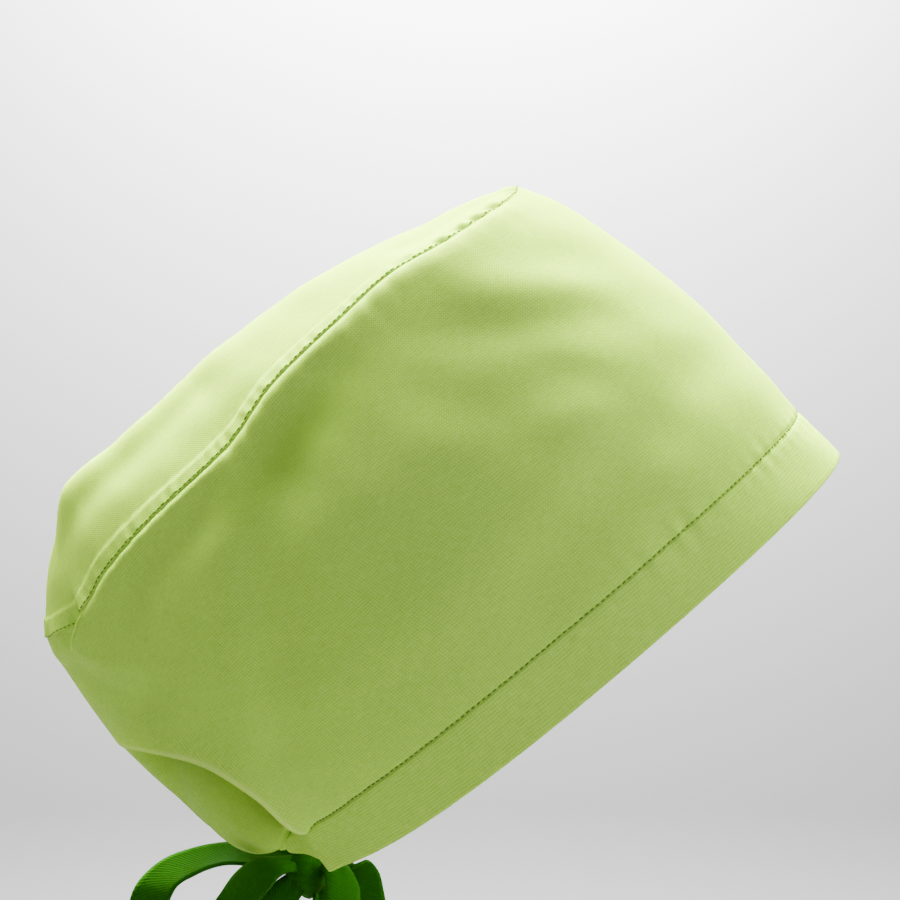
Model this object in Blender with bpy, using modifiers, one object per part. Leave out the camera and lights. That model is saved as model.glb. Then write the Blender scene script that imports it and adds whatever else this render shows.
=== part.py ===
# Scrub cap of woven cotton in the form it has when worn: a wall panel that goes all the way round,
# a long narrow crown panel, a turned hem and a flat ribbon tied in a bow at the nape.
# The cloth is modelled level, brim down and front towards -Y, and tilted back as it is worn.
# The origin is the middle of the head opening. The bow hangs straight down from the nape.

import math

import bmesh
import bpy
import numpy as np
from mathutils import Vector

# Driving dimensions, in metres and degrees
BRIM_LENGTH = 0.235         # head opening, forehead to nape
BRIM_WIDTH = 0.156          # head opening, side to side
BRIM_DIP = 0.012            # sag of the brim behind the ears
NAPE_FORWARD = 0.003        # how far the ribbon pulls the nape in
BRIM_TILT = 36.8            # forehead high, nape low
HEM_HEIGHT = 0.0195
FRONT_HEIGHT = 0.139        # brim to crown seam at the forehead
FRONT_LEAN = 0.033          # how far the crown seam lies behind the brim there
CROWN_LENGTH = 0.226
CROWN_WIDTH = 0.104
CROWN_RISE = 0.036          # greatest height of the crown over its seam
BELLY = 0.078               # what the wall's handles reach outwards, as one length
CLOTH = 0.0012              # thickness of the wall and the crown
HEM_CLOTH = 0.0024          # the hem is turned double
GAP = 0.0003                # between neighbouring pieces
FOLD_DEPTH = 0.0060         # deepest dent or fold in the cloth
GATHER_DEPTH = 0.0026       # of the gathers that the ribbon pulls at the nape
RIBBON_WIDTH = 0.0135
RIBBON_THICKNESS = 0.0015
KNOT_SIZE = (0.0150, 0.0120, 0.0145)

# Mesh density
SIDE_STATIONS = 24          # along the front and side of one half
NAPE_STATIONS = 20          # along the gathered last part of one half
NAPE_START = 0.80           # where that part starts, as a share of the half
WALL_ROWS = 15
HEM_ROWS = 3
CROWN_COLUMNS = 12
RIBBON_STEPS = 22
DENSE = 721                 # samples of a loop before it is divided by length
WALL_SAMPLES = 61           # samples up the wall before it is divided by length
HEM_SAMPLES = 9
KNOT_SUBDIVISIONS = 3

# Sections of the crown panel from its front end (0) to its rear end (1), by angle.
# width: share of an oval's width there; seam: height of the seam as a share of FRONT_HEIGHT;
# rise: height of the crown over that seam as a share of CROWN_RISE.
CROWN_SECTION_COLUMNS = ("turn", "width", "seam", "rise")
CROWN_SECTIONS = (
    (0.00, 1.10, 1.000, 0.00),
    (0.13, 1.12, 0.972, 0.23),
    (0.25, 1.12, 0.968, 0.38),
    (0.33, 1.05, 0.981, 0.47),
    (0.40, 1.01, 0.964, 0.63),
    (0.48, 1.00, 0.937, 0.76),
    (0.55, 1.00, 0.882, 0.94),
    (0.65, 0.94, 0.860, 0.93),
    (0.73, 0.90, 0.832, 1.00),
    (0.80, 0.93, 0.790, 0.76),
    (0.90, 0.88, 0.792, 0.29),
    (1.00, 0.85, 0.806, 0.00),
)

# Sections of the wall from the forehead (0) to the nape (1). Each is one curve from the hem's
# stitching up to the crown seam. hem: the hem's height as a share of HEM_HEIGHT; lean: how far it
# leans out, as a share of its height; the rest are the handles of that curve, outwards as shares
# of BELLY, along the height as shares of FRONT_HEIGHT.
WALL_COLUMNS = ("share", "hem", "lean", "low_out", "low_up", "high_out", "high_down")
WALL_SECTIONS = (
    (0.00, 1.00, -0.14, -0.03, 0.24, 0.29, 0.25),
    (0.25, 1.00, 0.02, 0.02, 0.26, 0.33, 0.26),
    (0.50, 1.00, 0.12, 0.08, 0.26, 0.45, 0.28),
    (0.72, 0.96, 0.12, 0.12, 0.20, 0.38, 0.26),
    (0.82, 0.86, 0.05, 0.14, 0.12, 0.20, 0.26),
    (0.87, 0.78, 0.00, 0.22, -0.02, 0.15, 0.28),
    (0.92, 0.73, 0.00, 0.26, -0.08, 0.11, 0.28),
    (1.00, 0.70, 0.00, 0.28, -0.12, 0.09, 0.30),
)

# Folds of the wall, each along three places of the cloth, a, b and c. side: -1 the wearer's
# right, 1 the left; share: round the half from forehead to nape; up: from hem to crown seam;
# width: share of FRONT_HEIGHT; depth: share of FOLD_DEPTH, outwards where positive;
# edge: 1 for a fold whose upper side hangs over a tuck, 0 for a soft ridge or dent.
FOLD_COLUMNS = (
    "side", "share_a", "up_a", "share_b", "up_b", "share_c", "up_c", "width", "depth", "edge",
)
WALL_FOLDS = (
    (-1, 0.850, 0.00, 0.862, 0.46, 0.965, 0.72, 0.10, 1.30, 1),
    (-1, 0.970, 0.97, 0.900, 0.90, 0.800, 0.66, 0.05, 0.35, 0),
    (-1, 0.950, 0.93, 0.900, 0.82, 0.860, 0.66, 0.06, -0.40, 0),
    (-1, 0.400, 0.92, 0.430, 0.89, 0.500, 0.84, 0.07, -0.70, 0),
    (-1, 0.620, 0.94, 0.660, 0.90, 0.760, 0.88, 0.07, -0.60, 0),
    (-1, 0.240, 0.88, 0.220, 0.78, 0.190, 0.68, 0.07, 0.40, 0),
    (-1, 0.300, 0.80, 0.240, 0.70, 0.180, 0.60, 0.07, -0.30, 0),
    (-1, 0.250, 0.46, 0.400, 0.27, 0.580, 0.24, 0.09, 0.32, 0),
    (-1, 0.160, 0.30, 0.300, 0.24, 0.480, 0.12, 0.08, -0.32, 0),
    (-1, 0.600, 0.70, 0.670, 0.50, 0.760, 0.24, 0.07, -0.36, 0),
    (-1, 0.640, 0.78, 0.710, 0.56, 0.775, 0.34, 0.07, 0.34, 0),
    (1, 0.855, 0.00, 0.870, 0.46, 0.960, 0.70, 0.10, 1.15, 1),
    (1, 0.970, 0.96, 0.910, 0.86, 0.820, 0.60, 0.06, 0.35, 0),
    (1, 0.420, 0.92, 0.450, 0.89, 0.530, 0.82, 0.08, -0.65, 0),
    (1, 0.640, 0.94, 0.680, 0.90, 0.770, 0.86, 0.07, -0.45, 0),
    (1, 0.260, 0.84, 0.230, 0.76, 0.200, 0.66, 0.08, 0.35, 0),
    (1, 0.270, 0.50, 0.400, 0.32, 0.560, 0.26, 0.10, 0.32, 0),
    (1, 0.630, 0.66, 0.690, 0.46, 0.760, 0.22, 0.08, -0.34, 0),
    (1, 0.700, 0.72, 0.740, 0.54, 0.800, 0.30, 0.08, 0.30, 0),
)

# The hanging fold: how far its lip stands out, how short the lip is and how far the tuck under it
# spreads, the first as a share of the fold's depth and the others of its width.
LIP_RISE = 0.35
TUCK_LIP = 0.20
TUCK_SPREAD = 1.60

# Folds of the crown panel: along is the share from its front to its rear end, across runs from
# -1 at the right-hand seam to 1 at the left-hand one, width is a share of CROWN_WIDTH.
CROWN_FOLD_COLUMNS = ("along_a", "across_a", "along_b", "across_b", "width", "depth")
CROWN_FOLDS = (
    (0.58, -0.42, 0.84, -0.46, 0.08, -0.50),
    (0.60, 0.46, 0.82, 0.50, 0.09, -0.40),
    (0.05, -0.50, 0.20, -0.62, 0.07, -0.25),
    (0.05, 0.52, 0.20, 0.62, 0.07, -0.25),
)

# Where the folds fade out: near the front and the rear middle, to this share of their depth over
# this share of the half; near the hem and the seam, to nothing over these shares of the wall's
# height; near the crown's sides and ends, over these shares of its half width and its length.
MIDDLE_FOLD_SHARE = 0.4
MIDDLE_FADE = 0.02
HEM_FADE = 0.04
SEAM_FADE = 0.06
CROWN_SIDE_FADE = 0.25
CROWN_END_FADE = 0.06

# Gathers at the nape: how many the full band holds there, how far they spread from the middle
# as a share of the half, and how far up the wall they die out; then how soon they do both.
GATHER_COUNT = 9
GATHER_SPREAD = 0.14
GATHER_FADE = 0.30
GATHER_SPREAD_POWER = 0.7
GATHER_FADE_POWER = 1.5

# Shapes of the curves: how narrow the stretch is that the ribbon pulls in, and how square the
# crown's arch is across.
NAPE_POWER = 12
CROWN_ARCH_POWER = 2.2

# Routes of the ribbon, in metres from the knot's middle. The columns are x, the wearer's left,
# back, away from the face, and up, and then the direction that the ribbon's width lies in, as its
# x, back and up.
REAR_LOOP = (
    (0.0010, 0.0065, 0.0004, -0.86, 0.0, -0.5),
    (0.0022, 0.0145, 0.0010, -0.86, 0.0, -0.5),
    (0.0030, 0.0225, 0.0016, -0.86, 0.0, -0.5),
    (0.0030, 0.0330, 0.0018, -0.86, 0.0, -0.5),
    (0.0008, 0.0435, -0.0002, -0.84, -0.1, -0.5),
    (-0.0040, 0.0525, -0.0040, -0.7, -0.6, -0.4),
    (-0.0078, 0.0568, -0.0100, -0.1, -1.0, -0.1),
    (-0.0095, 0.0575, -0.0180, 0.0, -1.0, 0.0),
    (-0.0110, 0.0540, -0.0250, -0.3, -0.8, -0.3),
    (-0.0120, 0.0450, -0.0275, -0.8, -0.2, -0.5),
    (-0.0125, 0.0360, -0.0220, -0.6, -0.5, -0.6),
    (-0.0120, 0.0285, -0.0125, -0.5, -0.7, -0.5),
    (-0.0110, 0.0220, -0.0040, -0.5, -0.7, -0.5),
    (-0.0095, 0.0160, 0.0008, -0.8, -0.4, -0.4),
    (-0.0070, 0.0105, 0.0018, -1.0, 0.0, -0.2),
    (-0.0040, 0.0060, 0.0010, -1.0, 0.3, -0.3),
)
SIDE_LOOP = (
    (-0.0060, -0.0035, 0.0008, -0.4, 0.9, 0.0),
    (-0.0100, -0.0068, 0.0012, -0.5, 0.85, 0.0),
    (-0.0130, -0.0090, -0.0022, -0.6, 0.8, 0.0),
    (-0.0143, -0.0101, -0.0095, -0.6, 0.8, 0.0),
    (-0.0147, -0.0104, -0.0210, -0.6, 0.8, 0.0),
    (-0.0144, -0.0102, -0.0340, -0.6, 0.8, 0.0),
    (-0.0118, -0.0086, -0.0430, -0.6, 0.8, 0.0),
    (-0.0082, -0.0063, -0.0395, -0.6, 0.8, 0.0),
    (-0.0056, -0.0042, -0.0260, -0.6, 0.8, 0.0),
    (-0.0026, -0.0021, -0.0078, -0.55, 0.83, 0.0),
)
REAR_TAIL = (
    (-0.0045, 0.0050, -0.0045, 0.2, 0.5, 0.8),
    (-0.0070, 0.0090, -0.0070, 0.3, 0.8, 0.5),
    (-0.0090, 0.0125, -0.0115, 0.2, 1.0, 0.2),
    (-0.0100, 0.0140, -0.0190, 0.0, 1.0, 0.0),
    (-0.0098, 0.0142, -0.0320, -0.1, 1.0, 0.0),
    (-0.0085, 0.0136, -0.0480, -0.2, 1.0, 0.0),
    (-0.0065, 0.0124, -0.0650, -0.3, 1.0, 0.0),
    (-0.0045, 0.0106, -0.0850, -0.4, 1.0, 0.0),
)
SIDE_TAIL = (
    (0.0040, -0.0050, 0.0000, 0.2, 0.3, 1.0),
    (0.0055, -0.0095, -0.0005, 0.1, 0.5, 0.9),
    (0.0066, -0.0136, -0.0050, 0.0, 0.9, 0.5),
    (0.0072, -0.0162, -0.0140, 0.0, 1.0, 0.2),
    (0.0070, -0.0174, -0.0280, 0.1, 1.0, 0.0),
    (0.0060, -0.0177, -0.0430, 0.2, 1.0, 0.0),
    (0.0046, -0.0172, -0.0590, 0.3, 1.0, 0.0),
    (0.0028, -0.0160, -0.0790, 0.4, 1.0, 0.0),
)
RIBBON_ENDS_NARROW = 0.50   # how narrow the ribbon is pinched where it leaves the knot
RIBBON_PINCH = 0.014        # over what length it opens to its full width

LIME = (0.34, 0.50, 0.12)
LIME_LIGHT = (0.42, 0.58, 0.17)
DARK_GREEN = (0.02, 0.13, 0.01)


def smooth_table(names, rows, places):
    """Each column of a table at the given places, on a curve that never overshoots its rows."""
    data = np.array(rows, dtype=float)
    x = data[:, 0]
    step = np.diff(x)
    found = {}
    for column, name in enumerate(names[1:], start=1):
        y = data[:, column]
        slope = np.diff(y) / step
        tangent = np.zeros_like(y)
        for i in range(1, len(x) - 1):
            if slope[i - 1] * slope[i] > 0:
                w1 = 2 * step[i] + step[i - 1]
                w2 = step[i] + 2 * step[i - 1]
                tangent[i] = (w1 + w2) / (w1 / slope[i - 1] + w2 / slope[i])
        cell = np.clip(np.searchsorted(x, places, side="right") - 1, 0, len(x) - 2)
        t = (places - x[cell]) / step[cell]
        found[name] = (
            (1 + 2 * t) * (1 - t) ** 2 * y[cell]
            + t * (1 - t) ** 2 * step[cell] * tangent[cell]
            + t**2 * (3 - 2 * t) * y[cell + 1]
            + t**2 * (t - 1) * step[cell] * tangent[cell + 1]
        )
    return found


def by_length(points, shares):
    """Points of a polyline at the given shares of its length."""
    length = np.concatenate(([0.0], np.cumsum(np.linalg.norm(np.diff(points, axis=0), axis=1))))
    return np.stack([np.interp(shares * length[-1], length, points[:, k]) for k in range(3)], axis=1)


def half_shares():
    """Places round one half, closer together where the nape is gathered."""
    side = np.linspace(0.0, NAPE_START, SIDE_STATIONS, endpoint=False)
    nape = np.linspace(NAPE_START, 1.0, NAPE_STATIONS + 1)
    return np.concatenate((side, nape))


def brim_half(shares):
    """The lower edge from the forehead to the nape, on the right-hand side."""
    turn = np.linspace(0.0, math.pi, DENSE)
    back = (1 - np.cos(turn)) / 2
    points = np.stack(
        [
            -BRIM_WIDTH / 2 * np.sin(turn),
            -BRIM_LENGTH / 2 * np.cos(turn) - NAPE_FORWARD * back**NAPE_POWER,
            -BRIM_DIP * np.sin(turn) * back**2,
        ],
        axis=1,
    )
    return by_length(points, shares)


def seam_half(shares):
    """The crown seam from its front to its rear end, and the crown's rise over it."""
    turn = np.linspace(0.0, 1.0, DENSE)
    section = smooth_table(CROWN_SECTION_COLUMNS, CROWN_SECTIONS, turn)
    front = -BRIM_LENGTH / 2 + FRONT_LEAN
    points = np.stack(
        [
            -CROWN_WIDTH / 2 * section["width"] * np.sin(turn * math.pi),
            front + CROWN_LENGTH * (1 - np.cos(turn * math.pi)) / 2,
            FRONT_HEIGHT * section["seam"],
        ],
        axis=1,
    )
    length = np.concatenate(([0.0], np.cumsum(np.linalg.norm(np.diff(points, axis=0), axis=1))))
    rise = np.interp(shares * length[-1], length, CROWN_RISE * section["rise"])
    return by_length(points, shares), rise


def outward(points):
    """Level directions that point out of a half loop, away from its middle."""
    along = np.gradient(points, axis=0)
    out = np.stack([-along[:, 1], along[:, 0], np.zeros(len(points))], axis=1)
    out[0] = (0.0, -1.0, 0.0)
    out[-1] = (0.0, 1.0, 0.0)
    return out / np.linalg.norm(out, axis=1, keepdims=True)


def segment_distance(u, v, start, end):
    """Distance of each point to a segment, and how far above the segment the point lies."""
    a = np.array(start)
    d = np.array(end) - a
    along = np.clip(((u - a[0]) * d[0] + (v - a[1]) * d[1]) / np.dot(d, d), 0.0, 1.0)
    gap_u = u - a[0] - along * d[0]
    gap_v = v - a[1] - along * d[1]
    above = np.sign(gap_v * abs(d[0]) - gap_u * d[1] * np.sign(d[0]))
    return np.hypot(gap_u, gap_v), above


def path_distance(u, v, places):
    """The same for a path of several places, by its nearest segment."""
    distance, above = segment_distance(u, v, places[0], places[1])
    for start, end in zip(places[1:-1], places[2:]):
        other, other_above = segment_distance(u, v, start, end)
        nearer = other < distance
        distance = np.where(nearer, other, distance)
        above = np.where(nearer, other_above, above)
    return distance, above


def wall_fold_field(side, share, up):
    """How far the folds push the wall out at each place of one half."""
    half_length = (BRIM_LENGTH + BRIM_WIDTH) * math.pi / 4
    u = share * half_length
    v = up * FRONT_HEIGHT
    total = np.zeros_like(u)
    for row in WALL_FOLDS:
        fold = dict(zip(FOLD_COLUMNS, row))
        if fold["side"] != side:
            continue
        places = [
            (fold["share_" + key] * half_length, fold["up_" + key] * FRONT_HEIGHT) for key in "abc"
        ]
        distance, above = path_distance(u, v, places)
        width = fold["width"] * FRONT_HEIGHT
        shape = np.exp(-((distance / width) ** 2))
        if fold["edge"]:
            tuck = np.tanh(distance / (TUCK_LIP * width)) * np.exp(-distance / (TUCK_SPREAD * width))
            shape = np.where(above > 0, LIP_RISE * np.exp(-distance / width), LIP_RISE - tuck)
            shape = np.where(above > 0, shape, shape * np.exp(-distance / (TUCK_SPREAD * width)))
        total += fold["depth"] * FOLD_DEPTH * shape
    return total


def gather_field(share, up):
    """The small pleats that the ribbon draws at the nape, deepest at the hem."""
    near = np.clip(1 - (1 - share) / GATHER_SPREAD, 0.0, 1.0)
    fade = np.clip(1 - up / GATHER_FADE, 0.0, 1.0) ** GATHER_FADE_POWER
    wave = np.cos((1 - share) / GATHER_SPREAD * GATHER_COUNT * math.pi)
    return GATHER_DEPTH * near**GATHER_SPREAD_POWER * fade * (wave - 1) / 2


def wall_half():
    """Hem and wall of the right-hand half as two grids of points, stations by samples."""
    shares = half_shares()
    brim = brim_half(shares)
    seam, _ = seam_half(shares)
    section = smooth_table(WALL_COLUMNS, WALL_SECTIONS, shares)
    brim_out = outward(brim)
    seam_out = outward(seam)
    up = np.array((0.0, 0.0, 1.0))
    hem_height = (HEM_HEIGHT * section["hem"])[:, None]
    stitch = brim + up * hem_height + brim_out * hem_height * section["lean"][:, None]
    low = (
        stitch
        + brim_out * (BELLY * section["low_out"])[:, None]
        + up * (FRONT_HEIGHT * section["low_up"])[:, None]
    )
    high = (
        seam
        + seam_out * (BELLY * section["high_out"])[:, None]
        - up * (FRONT_HEIGHT * section["high_down"])[:, None]
    )
    t = np.linspace(0.0, 1.0, WALL_SAMPLES)[None, :, None]
    curve = (
        (1 - t) ** 3 * stitch[:, None]
        + 3 * t * (1 - t) ** 2 * low[:, None]
        + 3 * t**2 * (1 - t) * high[:, None]
        + t**3 * seam[:, None]
    )
    hem = brim[:, None] + (stitch - brim)[:, None] * np.linspace(0.0, 1.0, HEM_SAMPLES)[None, :, None]
    return hem, curve


def push_out(grid, amount):
    """Moves a grid of points along its own outward normals."""
    around = np.gradient(grid, axis=0)
    upward = np.gradient(grid, axis=1)
    normal = np.cross(upward, around)
    normal[0] = normal[0] * (0, 1, 1)
    normal[-1] = normal[-1] * (0, 1, 1)
    size = np.linalg.norm(normal, axis=2, keepdims=True)
    return grid + normal / np.maximum(size, 1e-12) * amount[:, :, None]


def row_places(rows, start, end, points):
    """Points of each station's curve at evenly spaced lengths, less a margin at both ends."""
    found = []
    for line in points:
        length = np.linalg.norm(np.diff(line, axis=0), axis=1).sum()
        shares = np.linspace(start / length, 1 - end / length, rows + 1)
        found.append(by_length(line, shares))
    return np.array(found)


def mirrored(half):
    """A whole loop from its right-hand half and its left-hand half, both given at -X."""
    right, left = half
    other = left[1:-1][::-1] * (-1, 1, 1)
    return np.concatenate((right, other))


def cloth_grids():
    """The hem's and the wall's outer faces, as closed grids of points."""
    shares = half_shares()
    hems = []
    walls = []
    for side in (-1, 1):
        hem, curve = wall_half()
        samples = np.linspace(0.0, 1.0, curve.shape[1])
        share_grid, up_grid = np.meshgrid(shares, samples, indexing="ij")
        off_middle = np.clip(np.minimum(share_grid, 1 - share_grid) / MIDDLE_FADE, 0.0, 1.0)
        kept = MIDDLE_FOLD_SHARE + (1 - MIDDLE_FOLD_SHARE) * off_middle
        kept *= np.clip(up_grid / HEM_FADE, 0.0, 1.0)
        kept *= np.clip((1 - up_grid) / SEAM_FADE, 0.0, 1.0) ** 2
        folds = wall_fold_field(side, share_grid, up_grid) * kept
        curve = push_out(curve, folds + gather_field(share_grid, up_grid))
        hem_share, _ = np.meshgrid(shares, np.linspace(0, 1, hem.shape[1]), indexing="ij")
        hem = push_out(hem, gather_field(hem_share, np.zeros_like(hem_share)))
        hems.append(row_places(HEM_ROWS, 0.0, GAP / 2, hem))
        walls.append(row_places(WALL_ROWS, GAP / 2, GAP, curve))
    return mirrored(hems), mirrored(walls)


def crown_grid():
    """The crown's outer face: for each station a row of points from the right seam to the left."""
    seam, rise = seam_half(half_shares())
    across = np.linspace(-1.0, 1.0, CROWN_COLUMNS + 1)
    half_width = -seam[:, 0]
    front = seam[0, 1]
    arch = 1 - np.abs(across) ** CROWN_ARCH_POWER
    grid = np.zeros((len(seam), len(across), 3))
    grid[:, :, 0] = half_width[:, None] * across[None, :]
    grid[:, :, 1] = seam[:, 1][:, None]
    grid[:, :, 2] = seam[:, 2][:, None] + rise[:, None] * arch[None, :]
    u = grid[:, :, 1] - front
    v = np.broadcast_to(across[None, :] * CROWN_WIDTH / 2, u.shape)
    inside = np.clip((1 - np.abs(across)) / CROWN_SIDE_FADE, 0.0, 1.0)[None, :]
    off_ends = np.clip(np.minimum(u, CROWN_LENGTH - u) / (CROWN_END_FADE * CROWN_LENGTH), 0.0, 1.0)
    for row in CROWN_FOLDS:
        fold = dict(zip(CROWN_FOLD_COLUMNS, row))
        start = (fold["along_a"] * CROWN_LENGTH, fold["across_a"] * CROWN_WIDTH / 2)
        end = (fold["along_b"] * CROWN_LENGTH, fold["across_b"] * CROWN_WIDTH / 2)
        distance, _ = segment_distance(u, v, start, end)
        shape = np.exp(-((distance / (fold["width"] * CROWN_WIDTH)) ** 2))
        grid[:, :, 2] += fold["depth"] * FOLD_DEPTH * shape * inside * off_ends
    return grid


def material(name, colour, roughness):
    found = bpy.data.materials.new(name)
    found.use_nodes = True
    shader = found.node_tree.nodes["Principled BSDF"]
    shader.inputs["Base Color"].default_value = (*colour, 1.0)
    shader.inputs["Roughness"].default_value = roughness
    shader.inputs["Metallic"].default_value = 0.0
    found.diffuse_color = (*colour, 1.0)
    return found


def add_object(name, mesh, collection, parent, finish):
    body = bpy.data.objects.new(name, mesh)
    collection.objects.link(body)
    body.parent = parent
    mesh.materials.append(finish)
    mesh.shade_smooth()
    return body


def grid_surface(name, grid, closed):
    """An open surface from rows of points; closed joins the last row to the first."""
    rows, columns = grid.shape[:2]
    work = bmesh.new()
    vertices = [[work.verts.new(point) for point in row] for row in grid]
    for i in range(rows if closed else rows - 1):
        here = vertices[i]
        there = vertices[(i + 1) % rows]
        for k in range(columns - 1):
            work.faces.new((here[k], here[k + 1], there[k + 1], there[k]))
    bmesh.ops.remove_doubles(work, verts=work.verts, dist=1e-6)
    mesh = bpy.data.meshes.new(name)
    work.to_mesh(mesh)
    work.free()
    return mesh


def thicken(body, thickness, offset):
    shell = body.modifiers.new("cloth thickness", "SOLIDIFY")
    shell.thickness = thickness
    shell.offset = offset
    shell.use_even_offset = False


def ribbon_surface(name, route, loop):
    """A flat strip along a smooth curve through a route, pinched where it meets the knot."""
    rows = np.array(route, dtype=float)
    centre = rows[:, :3]
    centre[0] = seated(centre[0])
    if loop:
        centre[-1] = seated(centre[-1])
    width = rows[:, 3:]
    steps = np.linalg.norm(np.diff(centre, axis=0), axis=1)
    length = np.concatenate(([0.0], np.cumsum(steps)))
    places = np.linspace(0.0, length[-1], RIBBON_STEPS + 1)
    path = rounded(length, centre, places)
    side = rounded(length, width, places)
    tangent = np.gradient(path, axis=0)
    tangent /= np.linalg.norm(tangent, axis=1, keepdims=True)
    side -= tangent * (side * tangent).sum(axis=1, keepdims=True)
    side /= np.linalg.norm(side, axis=1, keepdims=True)
    open_ends = np.minimum(places, places[-1] - places) if loop else places
    open_share = np.clip(open_ends / RIBBON_PINCH, 0.0, 1.0)
    half = RIBBON_WIDTH / 2 * (RIBBON_ENDS_NARROW + (1 - RIBBON_ENDS_NARROW) * open_share)
    grid = np.stack([path - side * half[:, None], path, path + side * half[:, None]], axis=1)
    return grid_surface(name, grid, closed=False)


def seated(point):
    """The point moved along its ray from the knot's middle until it is one gap off the knot."""
    radii = np.array(KNOT_SIZE) / 2
    on_knot = point / np.linalg.norm(point / radii)
    return on_knot * (1 + GAP / np.linalg.norm(on_knot))


def rounded(length, values, places):
    """Catmull-Rom curve through values that stand at the given lengths."""
    tangent = np.gradient(values, length, axis=0)
    cell = np.clip(np.searchsorted(length, places, side="right") - 1, 0, len(length) - 2)
    step = (length[cell + 1] - length[cell])[:, None]
    t = (places - length[cell])[:, None] / step
    return (
        (1 + 2 * t) * (1 - t) ** 2 * values[cell]
        + t * (1 - t) ** 2 * step * tangent[cell]
        + t**2 * (3 - 2 * t) * values[cell + 1]
        + t**2 * (t - 1) * step * tangent[cell + 1]
    )


def make_hem(collection, level, grid, finish):
    mesh = grid_surface("hem_band", grid, closed=True)
    body = add_object("hem_band", mesh, collection, level, finish)
    thicken(body, HEM_CLOTH, -1.0)


def make_wall(collection, level, grid, finish):
    mesh = grid_surface("wall_panel", grid, closed=True)
    body = add_object("wall_panel", mesh, collection, level, finish)
    thicken(body, CLOTH, -1.0)


def make_crown(collection, level, finish):
    mesh = grid_surface("crown_panel", crown_grid(), closed=False)
    body = add_object("crown_panel", mesh, collection, level, finish)
    thicken(body, CLOTH, 1.0)


def make_knot(collection, bow, finish):
    work = bmesh.new()
    bmesh.ops.create_icosphere(work, subdivisions=KNOT_SUBDIVISIONS, radius=0.5)
    bmesh.ops.scale(work, vec=Vector(KNOT_SIZE), verts=work.verts)
    mesh = bpy.data.meshes.new("tie_knot")
    work.to_mesh(mesh)
    work.free()
    add_object("tie_knot", mesh, collection, bow, finish)


def make_ribbon(name, route, loop, collection, bow, finish):
    body = add_object(name, ribbon_surface(name, route, loop), collection, bow, finish)
    thicken(body, RIBBON_THICKNESS, 0.0)


def empty(name, collection, location, tilt):
    found = bpy.data.objects.new(name, None)
    collection.objects.link(found)
    found.location = location
    found.rotation_euler = (tilt, 0.0, 0.0)
    return found


def nape_point():
    """Where the bow's knot sits: just under the middle of the hem at the nape, after the tilt."""
    tilt = math.radians(-BRIM_TILT)
    back = BRIM_LENGTH / 2 - NAPE_FORWARD - HEM_CLOTH / 2
    up = -(KNOT_SIZE[2] / 2 + GAP)
    y = back * math.cos(tilt) - up * math.sin(tilt)
    z = back * math.sin(tilt) + up * math.cos(tilt)
    return (0.0, y, z)


def build_cap():
    for old in list(bpy.data.objects):
        bpy.data.objects.remove(old, do_unlink=True)
    collection = bpy.data.collections.new("scrub_cap")
    bpy.context.scene.collection.children.link(collection)
    lime = material("lime cotton", LIME, 0.85)
    lime_light = material("lime cotton crown", LIME_LIGHT, 0.85)
    green = material("green ribbon", DARK_GREEN, 0.9)
    level = empty("worn_tilt", collection, (0.0, 0.0, 0.0), math.radians(-BRIM_TILT))
    bow = empty("bow_place", collection, nape_point(), 0.0)
    hem_grid, wall_grid = cloth_grids()
    make_hem(collection, level, hem_grid, lime)
    make_wall(collection, level, wall_grid, lime)
    make_crown(collection, level, lime_light)
    make_knot(collection, bow, green)
    make_ribbon("tie_loop_rear", REAR_LOOP, True, collection, bow, green)
    make_ribbon("tie_loop_side", SIDE_LOOP, True, collection, bow, green)
    make_ribbon("tie_tail_rear", REAR_TAIL, False, collection, bow, green)
    make_ribbon("tie_tail_side", SIDE_TAIL, False, collection, bow, green)


build_cap()
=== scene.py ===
import math

import bmesh
import bpy
import numpy as np
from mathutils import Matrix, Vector


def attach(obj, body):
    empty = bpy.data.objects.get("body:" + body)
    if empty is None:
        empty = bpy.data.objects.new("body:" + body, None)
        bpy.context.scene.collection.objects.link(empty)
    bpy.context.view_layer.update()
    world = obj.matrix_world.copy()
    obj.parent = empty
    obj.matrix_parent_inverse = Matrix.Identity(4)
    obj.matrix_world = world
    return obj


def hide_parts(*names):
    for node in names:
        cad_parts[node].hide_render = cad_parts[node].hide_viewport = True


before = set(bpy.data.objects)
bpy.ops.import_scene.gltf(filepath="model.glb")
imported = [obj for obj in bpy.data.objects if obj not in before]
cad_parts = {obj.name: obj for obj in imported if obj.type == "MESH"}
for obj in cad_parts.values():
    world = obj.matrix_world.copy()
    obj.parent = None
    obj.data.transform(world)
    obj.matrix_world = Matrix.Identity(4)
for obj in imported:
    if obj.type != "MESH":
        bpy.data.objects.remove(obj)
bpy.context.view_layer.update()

print("stage 1: camera, floor and lights")

camera = {"place": (-0.510, 0.0399, 0.0703), "frameWidth": 0.315, "distance": 0.510}


def addBody(name, data):
    body = bpy.data.objects.new(name, data)
    bpy.context.scene.collection.objects.link(body)
    return body


def makeCamera():
    data = bpy.data.cameras.new("photoCamera")
    data.sensor_width = 36.0
    data.lens = data.sensor_width * camera["distance"] / camera["frameWidth"]
    data.clip_start = 0.01
    body = addBody("photoCamera", data)
    body.location = camera["place"]
    body.rotation_euler = (math.radians(90), 0.0, math.radians(-90))  # level, looking along +X
    bpy.context.scene.camera = body


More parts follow.
